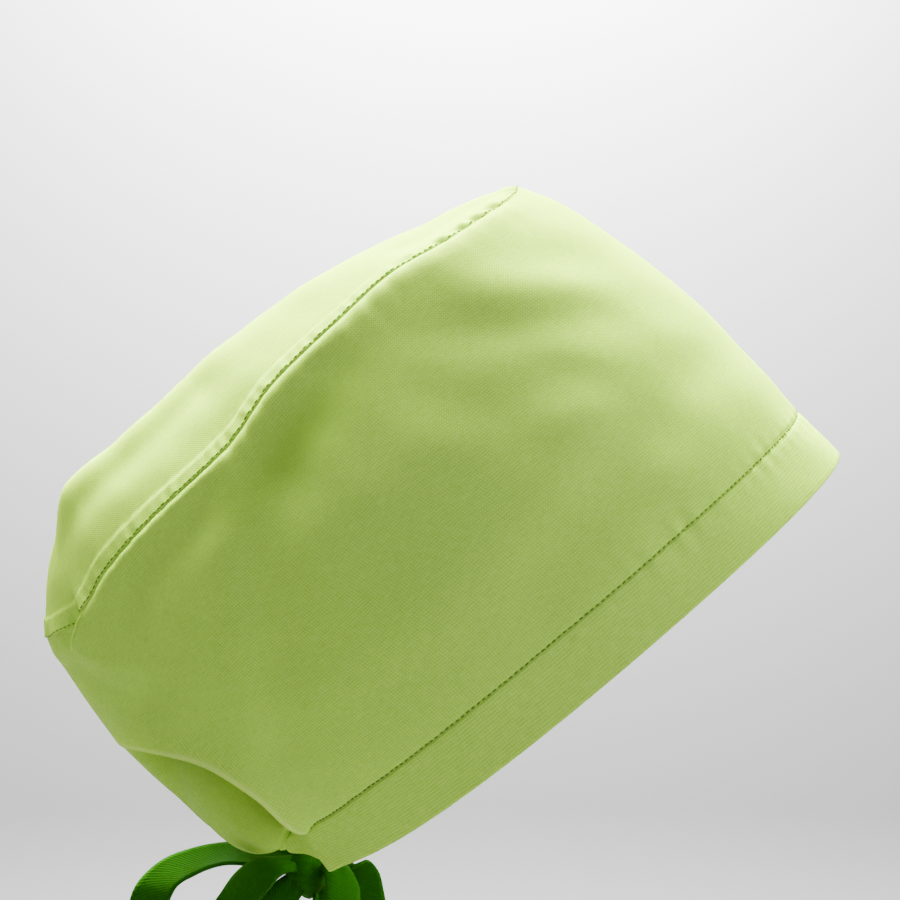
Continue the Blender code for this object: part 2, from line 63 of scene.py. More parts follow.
class Value:  # a shader socket that takes part in plain sums
    def __init__(self, tree, socket):
        self.tree, self.socket = tree, socket

    def math(self, operation, *others):
        node = self.tree.nodes.new("ShaderNodeMath")
        node.operation = operation
        for slot, item in zip(node.inputs, others):
            if isinstance(item, Value):
                self.tree.links.new(item.socket, slot)
            else:
                slot.default_value = item
        return Value(self.tree, node.outputs[0])

    def __add__(self, other):
        return self.math("ADD", self, other)

    def __radd__(self, other):
        return self.math("ADD", other, self)

    def __sub__(self, other):
        return self.math("SUBTRACT", self, other)

    def __mul__(self, other):
        return self.math("MULTIPLY", self, other)

    def sin(self):
        return self.math("SINE", self)

    def clamp(self):
        return self.math("MAXIMUM", self.math("MINIMUM", self, 1.0), 0.0)


class Shader:  # one material and the nodes that go into it
    def __init__(self, name):
        self.material = bpy.data.materials.new(name)
        self.material.use_nodes = True
        self.tree = self.material.node_tree
        self.surface = self.tree.nodes["Principled BSDF"]

    def node(self, kind, settings=None, sockets=None, output=0):
        made = self.tree.nodes.new(kind)
        for key, setting in (settings or {}).items():
            if key == "stops":
                for stop, (place, colour) in zip(made.color_ramp.elements, setting):
                    stop.position, stop.color = place, (*colour, 1.0)
            else:
                setattr(made, key, setting)
        for key, item in (sockets or {}).items():
            self.put(made.inputs[key], item)
        return Value(self.tree, made.outputs[output])

    def put(self, socket, item):
        if isinstance(item, Value):
            self.tree.links.new(item.socket, socket)
        elif isinstance(item, tuple) and len(item) == 3 and socket.type == "RGBA":
            socket.default_value = (*item, 1.0)
        else:
            socket.default_value = item

    def set(self, **inputs):
        for key, item in inputs.items():
            self.put(self.surface.inputs[key.replace("_", " ")], item)

    def mix(self, factor, first, second):
        made = self.tree.nodes.new("ShaderNodeMix")
        made.data_type = "RGBA"
        self.put(made.inputs[0], factor)
        self.put(made.inputs[6], first)
        self.put(made.inputs[7], second)
        return Value(self.tree, made.outputs[2])

    def noise(self, place, scale, detail=2.0, roughness=0.5, stretch=(1.0, 1.0, 1.0)):
        moved = self.node("ShaderNodeVectorMath", {"operation": "MULTIPLY"}, {0: place, 1: stretch})
        return self.node(
            "ShaderNodeTexNoise",
            {"noise_dimensions": "3D"},
            {"Vector": moved, "Scale": scale, "Detail": detail, "Roughness": roughness},
        )


studio = {
    "floorHeight": -1.15,
    "floorColour": (0.20, 0.20, 0.20),
    "worldColour": (0.95, 0.97, 1.0),
    "worldTop": 0.60, "worldBottom": 0.12,  # strength overhead and underfoot
    "topPlace": (0.58, 0.08, 1.12), "topSize": 0.8, "topPower": 47.0, "topSpread": 60,
    "frontPlace": (0.32, -1.05, 0.75), "frontSize": 0.9, "frontPower": 7.0, "frontSpread": 60,
    "fillPlace": (-1.10, -0.85, 0.12), "fillSize": 0.8, "fillPower": 7.5, "fillSpread": 180,
    "rearPlace": (0.62, 1.10, 0.85), "rearSize": 0.8, "rearPower": 11.0, "rearSpread": 100,
    "warmth": (0.90, 1.0, 0.10),  # keeps the cloth lime where it is brightest
    "warmLights": ("top", "front", "rear"),
    "wallPlace": (1.45, 0.0, 1.75), "wallSize": 1.0, "wallPower": 960.0, "wallSpread": 170,
}


def makeLight(name, target):
    place = studio[name + "Place"]
    data = bpy.data.lights.new(name + "Light", "AREA")
    data.energy, data.size = studio[name + "Power"], studio[name + "Size"]
    data.spread = math.radians(studio[name + "Spread"])
    if name in studio["warmLights"]:
        data.color = studio["warmth"]
    body = addBody(name + "Light", data)
    body.location = place
    body.rotation_euler = (Vector(target) - Vector(place)).to_track_quat("-Z", "Y").to_euler()


def makeStudio():
    world = bpy.data.worlds.new("studio")
    bpy.context.scene.world = world
    world.use_nodes = True
    nodes, links = world.node_tree.nodes, world.node_tree.links
    sky = nodes["Background"]
    sky.inputs["Color"].default_value = (*studio["worldColour"], 1.0)
    direction, parts, strength = (nodes.new("ShaderNode" + kind) for kind in ("TexCoord", "SeparateXYZ", "MapRange"))
    strength.inputs["From Min"].default_value = -1.0
    strength.inputs["To Min"].default_value = studio["worldBottom"]
    strength.inputs["To Max"].default_value = studio["worldTop"]
    links.new(direction.outputs["Generated"], parts.inputs[0])
    links.new(parts.outputs["Z"], strength.inputs["Value"])
    links.new(strength.outputs[0], sky.inputs["Strength"])
    for name in ("top", "front", "fill"):
        makeLight(name, (0, 0.03, 0.03))
    makeLight("rear", (0, 0.10, 0.10))
    makeLight("wall", (2.0, 0.1, 1.1))
    floor = studio["floorHeight"]
    turn = np.linspace(0, math.pi / 2, 13)
    profile = [(-3.0, floor)] + [(1.4 + 0.6 * math.sin(a), floor + 0.6 * (1 - math.cos(a))) for a in turn]
    profile.append((2.0, 4.0))
    mesh = bpy.data.meshes.new("studioFloor")
    rows = [[(x, y, z) for x, z in profile] for y in (-4.0, 4.0)]
    count = len(profile)
    faces = [(k, k + 1, count + k + 1, count + k) for k in range(count - 1)]
    mesh.from_pydata(rows[0] + rows[1], [], faces)
    mesh.shade_smooth()
    body = addBody("studioFloor", mesh)
    paint = Shader("paleFloor")
    grain = paint.noise(paint.node("ShaderNodeTexCoord", output=3), 40.0)
    paint.set(Base_Color=paint.mix(grain * 0.1, studio["floorColour"], (0.18, 0.18, 0.18)), Roughness=0.9)
    mesh.materials.append(paint.material)


makeCamera()
makeStudio()

print("stage 2: the shape that all pieces share")

shape = {
    "brimLength": 0.235, "brimWidth": 0.156, "brimDip": 0.012, "napeForward": 0.003, "napePower": 12,
    "tilt": 36.8, "hemHeight": 0.0195, "frontHeight": 0.139, "frontLean": 0.033,
    "crownLength": 0.226, "crownWidth": 0.104, "crownRise": 0.036,
    "belly": 0.078, "foldDepth": 0.0032,
    "halfRound": 0.307, "hemWay": 0.0165, "wallWay": 0.124,  # lengths that places on the cloth are measured in
    "wallRows": 140, "hemRows": 20, "baseStations": 601,
}

# turn, width, seam height, rise of the crown from its front to its rear end
crownSections = (
    (0.00, 1.10, 1.000, 0.00),
    (0.13, 1.12, 0.972, 0.23),
    (0.25, 1.12, 0.968, 0.38),
    (0.33, 1.05, 0.981, 0.47),
    (0.40, 1.01, 0.964, 0.63),
    (0.48, 1.00, 0.937, 0.76),
    (0.55, 1.00, 0.882, 0.94),
    (0.65, 0.94, 0.860, 0.93),
    (0.73, 0.90, 0.832, 1.00),
    (0.80, 0.93, 0.790, 0.76),
    (0.90, 0.88, 0.792, 0.29),
    (1.00, 0.85, 0.806, 0.00),
)

# share from forehead to nape, hem height, lean, low out, low up, high out, high down
wallSections = (
    (0.00, 1.00, -0.14, -0.03, 0.24, 0.29, 0.25),
    (0.25, 1.00, 0.02, 0.02, 0.26, 0.33, 0.26),
    (0.50, 1.00, 0.12, 0.08, 0.26, 0.36, 0.30),
    (0.72, 0.96, 0.12, 0.12, 0.20, 0.28, 0.28),
    (0.82, 0.86, 0.05, 0.14, 0.12, 0.16, 0.26),
    (0.87, 0.78, 0.00, 0.22, -0.02, 0.15, 0.28),
    (0.92, 0.73, 0.00, 0.26, -0.08, 0.11, 0.28),
    (1.00, 0.70, 0.00, 0.28, -0.12, 0.09, 0.30),
)


def curveThrough(x, values, tangent, places):  # columns of values, with the given slope at each row
    cell = np.clip(np.searchsorted(x, places, side="right") - 1, 0, len(x) - 2)
    step = (x[cell + 1] - x[cell])[:, None]
    t = (places - x[cell])[:, None] / step
    return ((1 + 2 * t) * (1 - t) ** 2 * values[cell] + t * (1 - t) ** 2 * step * tangent[cell]
            + t**2 * (3 - 2 * t) * values[cell + 1] + t**2 * (t - 1) * step * tangent[cell + 1])


def roundCurve(x, values, places):
    return curveThrough(x, values, np.gradient(values, x, axis=0), places)


def tableCurve(rows, places):  # each column on a curve that never overshoots its rows
    data = np.array(rows, dtype=float)
    x, values = data[:, 0], data[:, 1:]
    step = np.diff(x)
    slope = np.diff(values, axis=0) / step[:, None]
    tangent = np.zeros_like(values)
    for i in range(1, len(x) - 1):
        w1, w2 = 2 * step[i] + step[i - 1], step[i] + 2 * step[i - 1]
        for k, (before, after) in enumerate(zip(slope[i - 1], slope[i])):
            if before * after > 0:
                tangent[i, k] = (w1 + w2) / (w1 / before + w2 / after)
    return curveThrough(x, values, tangent, places).T


def unit(vectors):
    return vectors / np.linalg.norm(vectors, axis=-1, keepdims=True)


def bell(distance, width, power=2):  # 1 at no distance, falling away over the width
    return np.exp(-((distance / width) ** power))


def readAt(places, own, points):  # points at places, where own says the place of each
    return np.stack([np.interp(places, own, points[:, k]) for k in range(3)], axis=-1)


def lengthAlong(points):
    return np.concatenate(([0.0], np.cumsum(np.linalg.norm(np.diff(points, axis=0), axis=1))))


def byLength(points, shares):
    length = lengthAlong(points)
    return readAt(shares * length[-1], length, points)


def smoothStep(low, high, x):
    t = np.clip((x - low) / (high - low), 0.0, 1.0)
    return t * t * (3 - 2 * t)


def worn(points):  # from the level frame to the tilt that the cap is worn at
    turn = math.radians(shape["tilt"])
    x, y, z = points[..., 0], points[..., 1], points[..., 2]
    return np.stack([x, y * math.cos(turn) + z * math.sin(turn), z * math.cos(turn) - y * math.sin(turn)], axis=-1)


def outward(points):
    along = np.gradient(points, axis=0)
    out = np.stack([-along[:, 1], along[:, 0], np.zeros(len(points))], axis=1)
    out[0], out[-1] = (0.0, -1.0, 0.0), (0.0, 1.0, 0.0)
    return unit(out)


def halfBase():  # the smooth half: stations by rows, rows 0 to 1 on the hem and 1 to 2 on the wall
    shares = np.linspace(0.0, 1.0, shape["baseStations"])
    turn = np.linspace(0.0, math.pi, 1201)
    back = (1 - np.cos(turn)) / 2
    brim = np.stack([
        -shape["brimWidth"] / 2 * np.sin(turn),
        -shape["brimLength"] / 2 * np.cos(turn) - shape["napeForward"] * back ** shape["napePower"],
        -shape["brimDip"] * np.sin(turn) * back**2,
    ], axis=1)
    brim = byLength(brim, shares)
    turn = np.linspace(0.0, 1.0, 1201)
    width, height, rise = tableCurve(crownSections, turn)
    seam = np.stack([
        -shape["crownWidth"] / 2 * width * np.sin(turn * math.pi),
        -shape["brimLength"] / 2 + shape["frontLean"] + shape["crownLength"] * (1 - np.cos(turn * math.pi)) / 2,
        shape["frontHeight"] * height,
    ], axis=1)
    length = lengthAlong(seam)
    rise = np.interp(shares * length[-1], length, shape["crownRise"] * rise)
    seam = byLength(seam, shares)
    hem, lean, lowOut, lowUp, highOut, highDown = tableCurve(wallSections, shares)
    brimOut, seamOut = outward(brim), outward(seam)
    up = np.array((0.0, 0.0, 1.0))
    hemHeight = (shape["hemHeight"] * hem)[:, None]
    stitch = brim + up * hemHeight + brimOut * hemHeight * lean[:, None]
    low = stitch + brimOut * (shape["belly"] * lowOut)[:, None] + up * (shape["frontHeight"] * lowUp)[:, None]
    high = seam + seamOut * (shape["belly"] * highOut)[:, None] - up * (shape["frontHeight"] * highDown)[:, None]
    t = np.linspace(0.0, 1.0, 121)[None, :, None]
    curve = ((1 - t) ** 3 * stitch[:, None] + 3 * t * (1 - t) ** 2 * low[:, None]
             + 3 * t**2 * (1 - t) * high[:, None] + t**3 * seam[:, None])
    evenly = np.linspace(0.0, 1.0, shape["wallRows"] + 1)
    wall = np.array([byLength(line, evenly) for line in curve])
    hemRows = np.linspace(0.0, 1.0, shape["hemRows"] + 1)[None, :-1, None]
    grid = np.concatenate((brim[:, None] + (stitch - brim)[:, None] * hemRows, wall), axis=1)
    around, upward = np.gradient(grid, axis=0), np.gradient(grid, axis=1)
    normal = np.cross(upward, around)
    normal[0] *= (0, 1, 1)
    normal[-1] *= (0, 1, 1)
    return grid, unit(normal), rise


def rowOf(v):  # from the height 0 to 2 to a row of the base grid
    return np.where(v < 1, v * shape["hemRows"], shape["hemRows"] + (v - 1) * shape["wallRows"])


def sampleGrid(grid, share, v):
    a = np.clip(share, 0.0, 1.0) * (grid.shape[0] - 1)
    b = np.clip(rowOf(v), 0.0, grid.shape[1] - 1.0)
    i, k = np.minimum(a.astype(int), grid.shape[0] - 2), np.minimum(b.astype(int), grid.shape[1] - 2)
    p, q = (a - i)[..., None], (b - k)[..., None]
    return ((1 - p) * (1 - q) * grid[i, k] + p * (1 - q) * grid[i + 1, k]
            + (1 - p) * q * grid[i, k + 1] + p * q * grid[i + 1, k + 1])


def placeIn(share, v):  # metres on the flat cloth, for the distances between folds
    height = np.where(v < 1, v * shape["hemWay"], shape["hemWay"] + (v - 1) * shape["wallWay"])
    return share * shape["halfRound"], height


def routeIn(places):  # a route given as shares and heights, in metres
    return np.array([[float(p) for p in placeIn(np.array(s), np.array(h))] for s, h in places])


def smoothPath(points, count=80):  # a round curve through chosen places
    length = lengthAlong(points)
    return roundCurve(length, points, np.linspace(0.0, length[-1], count))


def toPath(x, y, path):  # distance, side (positive to the right) and share of the path
    best = np.full(x.shape, 1e9)
    side, along = np.zeros(x.shape), np.zeros(x.shape)
    for k in range(len(path) - 1):
        a, d = path[k], path[k + 1] - path[k]
        t = np.clip(((x - a[0]) * d[0] + (y - a[1]) * d[1]) / np.dot(d, d), 0.0, 1.0)
        gx, gy = x - a[0] - t * d[0], y - a[1] - t * d[1]
        distance = np.hypot(gx, gy)
        nearer = distance < best
        best = np.where(nearer, distance, best)
        side = np.where(nearer, np.sign(gx * d[1] - gy * d[0]), side)
        along = np.where(nearer, (k + t) / (len(path) - 1), along)
    return best, side, along


# soft folds: side (-1 the wearer's right), three places as share and height, width in metres, depth as a share
softFolds = (
    (-1, 0.970, 1.97, 0.900, 1.90, 0.800, 1.66, 0.0070, 0.45),
    (-1, 0.950, 1.93, 0.900, 1.82, 0.860, 1.66, 0.0085, -0.45),
    (-1, 0.430, 1.91, 0.470, 1.86, 0.530, 1.80, 0.0120, -0.60),
    (-1, 0.620, 1.94, 0.660, 1.90, 0.760, 1.88, 0.0100, -0.60),
    (-1, 0.240, 1.88, 0.220, 1.78, 0.190, 1.68, 0.0110, 0.36),
    (-1, 0.330, 1.82, 0.270, 1.70, 0.200, 1.60, 0.0100, -0.16),
    (-1, 0.250, 1.46, 0.400, 1.27, 0.580, 1.24, 0.0125, 0.32),
    (-1, 0.160, 1.30, 0.300, 1.24, 0.480, 1.12, 0.0110, -0.32),
    (-1, 0.600, 1.70, 0.670, 1.50, 0.760, 1.24, 0.0100, -0.36),
    (-1, 0.640, 1.78, 0.710, 1.56, 0.775, 1.34, 0.0100, 0.34),
    (1, 0.970, 1.96, 0.910, 1.86, 0.820, 1.60, 0.0085, 0.40),
    (1, 0.420, 1.92, 0.450, 1.89, 0.530, 1.82, 0.0110, -0.65),
    (1, 0.640, 1.94, 0.680, 1.90, 0.770, 1.86, 0.0100, -0.45),
    (1, 0.260, 1.84, 0.230, 1.76, 0.200, 1.66, 0.0110, 0.38),
    (1, 0.270, 1.50, 0.400, 1.32, 0.560, 1.26, 0.0140, 0.32),
    (1, 0.630, 1.66, 0.690, 1.46, 0.760, 1.22, 0.0110, -0.34),
    (1, 0.700, 1.72, 0.740, 1.54, 0.800, 1.30, 0.0110, 0.30),
)

# folds with an overhanging lip, from below upwards: the cloth behind the route is tucked in under it
# shade and shadeWidth: strength and reach of painted shade behind the lip, painted light where negative; edge:
# strength of a painted highlight line along the lip, a painted shade line where negative
hangingLip = {
    "liftSpread": 0.0042, "step": 0.0085, "spread": 0.023, "under": 0.0020, "fadeIn": 0.0, "fadeOut": 0.20,
    "atHem": 0.25, "shade": 1.0, "shadeWidth": 0.019, "edge": 0.55,
}
cornerLip = {
    "liftSpread": 0.0040, "step": 0.0018, "spread": 0.009, "fadeIn": 0.45, "fadeOut": 0.0,
    "atHem": 1.0, "shade": -1.0, "shadeWidth": 0.008, "edge": -0.45,
}
lipFolds = {
    -1: (
        {**hangingLip, "lift": 0.0020, "drop": 0.0110,
         "route": ((0.866, -0.05), (0.866, 0.50), (0.858, 1.00), (0.839, 1.20), (0.846, 1.36), (0.868, 1.48),
                   (0.902, 1.560), (0.945, 1.610), (0.990, 1.635))},
        {**cornerLip, "lift": 0.0012, "drop": 0.0040, "under": 0.0020,
         "route": ((0.915, 1.920), (0.890, 1.958), (0.866, 1.985), (0.846, 2.02))},
    ),
    1: (
        {**hangingLip, "lift": 0.0018, "drop": 0.0090,
         "route": ((0.872, -0.05), (0.872, 0.50), (0.868, 1.00), (0.852, 1.20), (0.856, 1.36), (0.876, 1.49),
                   (0.908, 1.575), (0.945, 1.620), (0.985, 1.640))},
        {**cornerLip, "lift": 0.0010, "drop": 0.0030, "under": 0.0015,
         "route": ((0.920, 1.930), (0.895, 1.962), (0.872, 1.988), (0.854, 2.02))},
    ),
}

fineFolds = {
    "seed": 7,
    "rippleDepth": 0.00035,  # of the soft unevenness of worn cloth
    # lipLine and lipLineWidth: offset and width of the painted highlight line along each lip
    "lipLine": 0.0009, "lipLineWidth": 0.0008, "liftBehind": 0.0012, "underReach": 0.011,
    "hemGroove": 0.00045, "grooveWidth": 0.0009,
    "hemPucker": 0.00020, "hemPuckerPitch": 0.0085, "hemPuckerReach": 0.005,
    "seamPucker": 0.00035, "seamPuckerPitch": 0.0070, "seamPuckerReach": 0.006,
    "seamRoll": 0.0022, "seamRollWidth": 0.0055, "rollStarts": (0.04, 0.16), "rollEnds": (0.82, 0.92),
    "gatherCount": 9, "gatherSpread": 0.125, "gatherDepth": 0.0026, "gatherTop": 1.32,
    "napeFullness": 0.0055, "napeRise": 0.66, "napeStarts": (0.874, 0.925),
    # spots of painted shade, at the nape and in the dent under the crown seam: share, height, reach along, reach up,
    # strength of the painted shade
    "paintedShadeTucks": ((0.945, 1.120, 0.022, 0.050, 0.8), (0.505, 1.830, 0.095, 0.075, 0.50)),
}


def pucker(place, pitch, seed):  # an uneven wave along a seam
    random = np.random.default_rng(seed)
    total = np.zeros_like(place)
    for k in range(5):
        own = pitch * (0.7 + 0.8 * random.random())
        total += np.sin(2 * math.pi * (place / own + random.random())) * (0.5 + random.random())
    return total / 3.2


def ripple(x, y, seed):
    random = np.random.default_rng(seed)
    total = np.zeros_like(x)
    for k in range(14):
        angle, wave = random.random() * math.pi, 0.018 + 0.045 * random.random()
        total += np.sin(2 * math.pi * ((x * math.cos(angle) + y * math.sin(angle)) / wave + random.random()))
    return total / 5.0


def lipPlace(fold, x, y):  # how far behind the lip each place is, and how much of the fold is left there
    path = smoothPath(routeIn(fold["route"]))
    distance, behind, along = toPath(x, y, path)
    fade = smoothStep(0.0, fold["fadeIn"] + 1e-6, along) * (1 - smoothStep(1 - fold["fadeOut"], 1.0 + 1e-6, along))
    return path, distance * behind, along, fade


def foldShade(side, share, v):  # painted shade and painted highlight for each place: up to 1 of painted shade behind a fold's lip, down to -1 of painted highlight along a lit lip
    x, y = placeIn(share, v)
    shade = np.zeros_like(x)
    for fold in lipFolds[side]:
        _, signed, _, fade = lipPlace(fold, x, y)
        # painted shade behind each lip (painted light where the fold's shade is negative), and a painted highlight
        # line along the lip
        paintedTuckShade = smoothStep(-0.0003, 0.0008, signed) * bell(np.maximum(signed, 0), fold["shadeWidth"], 1.5)
        line = bell(signed + fineFolds["lipLine"], fineFolds["lipLineWidth"])
        shade += fade * (fold["shade"] * paintedTuckShade - fold["edge"] * line)
    # spots of painted shade at the nape and in the dent under the crown seam
    for place, height, wide, high, depth in fineFolds["paintedShadeTucks"]:
        shade += depth * bell(share - place, wide) * bell(v - height, high)
    return shade


def softShift(side, x, y, onWall):  # the soft folds, outwards
    out = np.zeros_like(x)
    for own, a, b, c, d, e, f, width, depth in softFolds:
        if own == side:
            distance, _, _ = toPath(x, y, smoothPath(routeIn(((a, b), (c, d), (e, f))), 12))
            out += depth * shape["foldDepth"] * bell(distance, width) * onWall
    return out


def seamShift(share, v, x, seed):  # what the two seams do to the cloth, outwards
    hemWay = np.abs(v - 1) * np.where(v < 1, shape["hemWay"], shape["wallWay"])
    seamWay = (2 - v) * shape["wallWay"]
    roll = seamWay / fineFolds["seamRollWidth"]
    groove = fineFolds["hemGroove"] * bell(hemWay, fineFolds["grooveWidth"])
    hemWave = pucker(x, fineFolds["hemPuckerPitch"], seed) * bell(hemWay, fineFolds["hemPuckerReach"])
    seamWave = pucker(x, fineFolds["seamPuckerPitch"], seed + 9) * np.exp(-seamWay / fineFolds["seamPuckerReach"])
    rolled = smoothStep(*fineFolds["rollStarts"], share) * (1 - smoothStep(*fineFolds["rollEnds"], share))
    return (fineFolds["hemPucker"] * hemWave - groove
            + fineFolds["seamPucker"] * seamWave * smoothStep(0, 0.002, seamWay)
            + fineFolds["seamRoll"] * roll * np.exp(1 - roll) * rolled)


def clothShift(side, share, v):  # how far each place moves: outwards, and along the cloth in share and height
    x, y = placeIn(share, v)
    out = softShift(side, x, y, smoothStep(1.0, 1.06, v) * (1 - smoothStep(1.93, 2.0, v)))
    shift = np.zeros(x.shape + (2,))
    for fold in lipFolds[side]:
        path, signed, along, fade = lipPlace(fold, x, y)
        deep = fold["atHem"] + (1 - fold["atHem"]) * smoothStep(0.9, 1.25, v)
        lift = bell(signed, np.where(signed < 0, fold["liftSpread"], fineFolds["liftBehind"]))
        tuck = np.sin(np.clip(signed / fold["step"], 0, 1) * math.pi / 2) ** 0.9  # steepest right at the lip
        away = np.clip(signed - fold["step"], 0, None)
        out += fade * (fold["lift"] * lift - fold["drop"] * deep * tuck * bell(away, fold["spread"], 1.3))
        pull = fade * fold["under"] * deep * tuck * np.exp(-away / fineFolds["underReach"])
        cell = np.minimum((along * (len(path) - 1)).astype(int), len(path) - 2)
        way = unit(path[cell + 1] - path[cell])
        shift -= np.stack([way[..., 1], -way[..., 0]], axis=-1) * pull[..., None]  # forwards, under the lip
    near = np.clip(1 - (1 - share) / fineFolds["gatherSpread"], 0.0, 1.0)
    rise = 1 - smoothStep(0.9, fineFolds["gatherTop"], v)
    wave = np.cos((1 - share) / fineFolds["gatherSpread"] * fineFolds["gatherCount"] * math.pi)
    out += fineFolds["gatherDepth"] * near**0.7 * rise * wave / 2
    nape = smoothStep(*fineFolds["napeStarts"], share)
    out += fineFolds["napeFullness"] * nape * (1 - smoothStep(1.0, 1.4, v))
    drawn = fineFolds["napeRise"] * nape * (1 - np.clip(v, 0, 1))
    shift[..., 1] += drawn * shape["hemWay"]  # the ribbon draws the edge up
    seed = fineFolds["seed"] + side
    out += seamShift(share, v, x, seed)
    rippled = smoothStep(0.0, 0.6, v) * (1 - smoothStep(1.9, 2.0, v))
    out += fineFolds["rippleDepth"] * ripple(x, y, seed + 20) * rippled
    return out, shift[..., 0] / shape["halfRound"], shift[..., 1] / np.where(v < 1, shape["hemWay"], shape["wallWay"])


baseGrid, baseNormal, crownRise = halfBase()


def clothPoints(side, share, v, inset=0.0):
    out, along, up = clothShift(side, share, v)
    s, h = np.clip(share + along, 0.0, 1.0), np.clip(v + up, 0.0, 2.0)
    free = smoothStep(0.0, 0.012, share) * smoothStep(0.0, 0.012, 1 - share)  # both halves meet in the middle
    s = share + (s - share) * free
    points = sampleGrid(baseGrid, s, h) + sampleGrid(baseNormal, s, h) * (out - inset)[..., None]
    points[..., 0] = np.where((share <= 0) | (share >= 1), 0.0, points[..., 0])
    return points


def wholeRound(right, left):  # joins two halves, both made at the right, into one loop of stations
    return np.concatenate((right, left[1:-1][::-1] * (-1, 1, 1)))


def gridMesh(name, grid, uv, closed, shade=None):
    rows, columns = grid.shape[:2]
    mesh = bpy.data.meshes.new(name)
    last = rows if closed else rows - 1
    i, k = np.meshgrid(np.arange(last), np.arange(columns - 1), indexing="ij")
    j = (i + 1) % rows
    here, there = i * columns + k, j * columns + k
    faces = np.stack([here, here + 1, there + 1, there], axis=-1).reshape(-1, 4)
    mesh.from_pydata(grid.reshape(-1, 3).tolist(), [], faces.tolist())
    # shade: painted shade where positive and painted highlight where negative, kept as the foldShade attribute
    if shade is not None:
        mesh.attributes.new("foldShade", "FLOAT", "POINT").data.foreach_set("value", shade.astype(np.float32).ravel())
    layer = mesh.uv_layers.new(name="clothMap")
    corner = np.array([loop.vertex_index for loop in mesh.loops])
    values = uv.reshape(-1, 2)[corner]
    if closed:  # the last column of faces runs on, not back to the start
        faceOf = np.repeat(np.arange(len(faces)), 4)
        lastFaces = faceOf >= (last - 1) * (columns - 1)
        values[lastFaces & (corner < columns), 0] += 2 * shape["halfRound"]
    layer.data.foreach_set("uv", values.astype(np.float32).ravel())
    work = bmesh.new()
    work.from_mesh(mesh)
    bmesh.ops.remove_doubles(work, verts=work.verts, dist=2e-6)
    bmesh.ops.dissolve_degenerate(work, edges=work.edges, dist=1e-7)
    work.to_mesh(mesh)
    work.free()
    mesh.shade_smooth()
    return mesh


def orient(mesh, upwards=False):  # faces to the outside, or upwards on an open cloth
    work = bmesh.new()
    work.from_mesh(mesh)
    bmesh.ops.recalc_face_normals(work, faces=work.faces)
    if upwards and sum(f.normal.z for f in work.faces) < 0:
        bmesh.ops.reverse_faces(work, faces=work.faces)
    work.to_mesh(mesh)
    work.free()


def addObject(name, mesh, finish):
    body = addBody(name, mesh)
    mesh.materials.clear()
    mesh.materials.append(finish)
    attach(body, "root")
    return body


def thicken(body, thickness, offset):
    shell = body.modifiers.new("clothThickness", "SOLIDIFY")
    shell.thickness, shell.offset, shell.use_even_offset = thickness, offset, False


print("stage 3: materials")

limeCloth = {
    "shade": (0.37, 0.64, 0.070), "light": (0.54, 0.86, 0.125),
    # the next two colours are painted: painted shade in the tucks behind fold lips, and painted highlight on the lips
    # and on the lit facet at the rear corner
    "paintedTuckShade": (0.15, 0.30, 0.014), "edge": (0.74, 0.97, 0.24),
    "threadPitch": 0.0009, "threadDepth": 0.00012, "wobbleAcross": 0.0010, "wobbleAlong": 0.0008,
    "acrossTone": 0.16, "alongTone": 0.11, "weaveTone": 0.19, "weftTone": 0.9, "warpTone": 0.6, "patchTone": 0.25,
}


def clothMap(shader):  # the place on the cloth, and its two parts in metres
    place = shader.node("ShaderNodeUVMap", {"uv_map": "clothMap"})
    parts = shader.node("ShaderNodeSeparateXYZ", None, {0: place})
    return place, parts, Value(shader.tree, parts.socket.node.outputs[1])


def makeClothMaterial(name, tint):
    shader = Shader(name)
    place, u, v = clothMap(shader)
    wobble = shader.noise(place, 60.0, 1.0)
    wave = 2 * math.pi / limeCloth["threadPitch"]
    across = ((v + wobble * limeCloth["wobbleAcross"]) * wave).sin()
    along = ((u + wobble * limeCloth["wobbleAlong"]) * wave).sin()
    weave = across * along  # the over and under of the threads
    slubWeft = shader.noise(place, 1.0, 2.0, 0.6, (260.0, 2200.0, 1.0))
    slubWarp = shader.noise(place, 1.0, 2.0, 0.6, (2200.0, 260.0, 1.0))
    patch = shader.noise(place, 14.0, 3.0)
    tone = 0.5 + across * limeCloth["acrossTone"] + along * limeCloth["alongTone"] + weave * limeCloth["weaveTone"]
    tone = tone + (slubWeft - 0.5) * limeCloth["weftTone"] + (slubWarp - 0.5) * limeCloth["warpTone"]
    tone = (tone + (patch - 0.5) * limeCloth["patchTone"]).clamp()
    shade, light = (tuple(a * b for a, b in zip(limeCloth[key], tint)) for key in ("shade", "light"))
    colour = shader.node("ShaderNodeValToRGB", {"stops": ((0.25, shade), (0.80, light))}, {0: tone})
    # the foldShade attribute paints shade into the tucks and a highlight onto the fold lips and the rear corner's
    # facet
    fold = shader.node("ShaderNodeAttribute", {"attribute_name": "foldShade"}, output=2)
    colour = shader.mix(fold.clamp(), colour, limeCloth["paintedTuckShade"])
    colour = shader.mix((fold * -1.0).clamp(), colour, limeCloth["edge"])
    height = weave * 0.4 + across * 0.25 + slubWeft * 0.8 + slubWarp * 0.6
    relief = {"Strength": 0.5, "Distance": limeCloth["threadDepth"], "Height": height}
    bump = shader.node("ShaderNodeBump", None, relief)
    shader.set(Base_Color=colour, Roughness=0.80 + (slubWeft - 0.5) * 0.1, Normal=bump)
    shader.set(Sheen_Weight=0.06, Sheen_Roughness=0.5, Specular_IOR_Level=0.15)
    return shader.material


# a dark green ribbon, its colours darkened further as painted shade for the shade that the bow lies in under the cap
ribbonCloth = {
    "base": (0.006, 0.070, 0.001), "light": (0.018, 0.135, 0.002),
    "ribPitch": 0.0009, "ribDepth": 0.00012, "ribTone": 0.14, "crossTone": 0.06, "fuzzTone": 0.5,
}


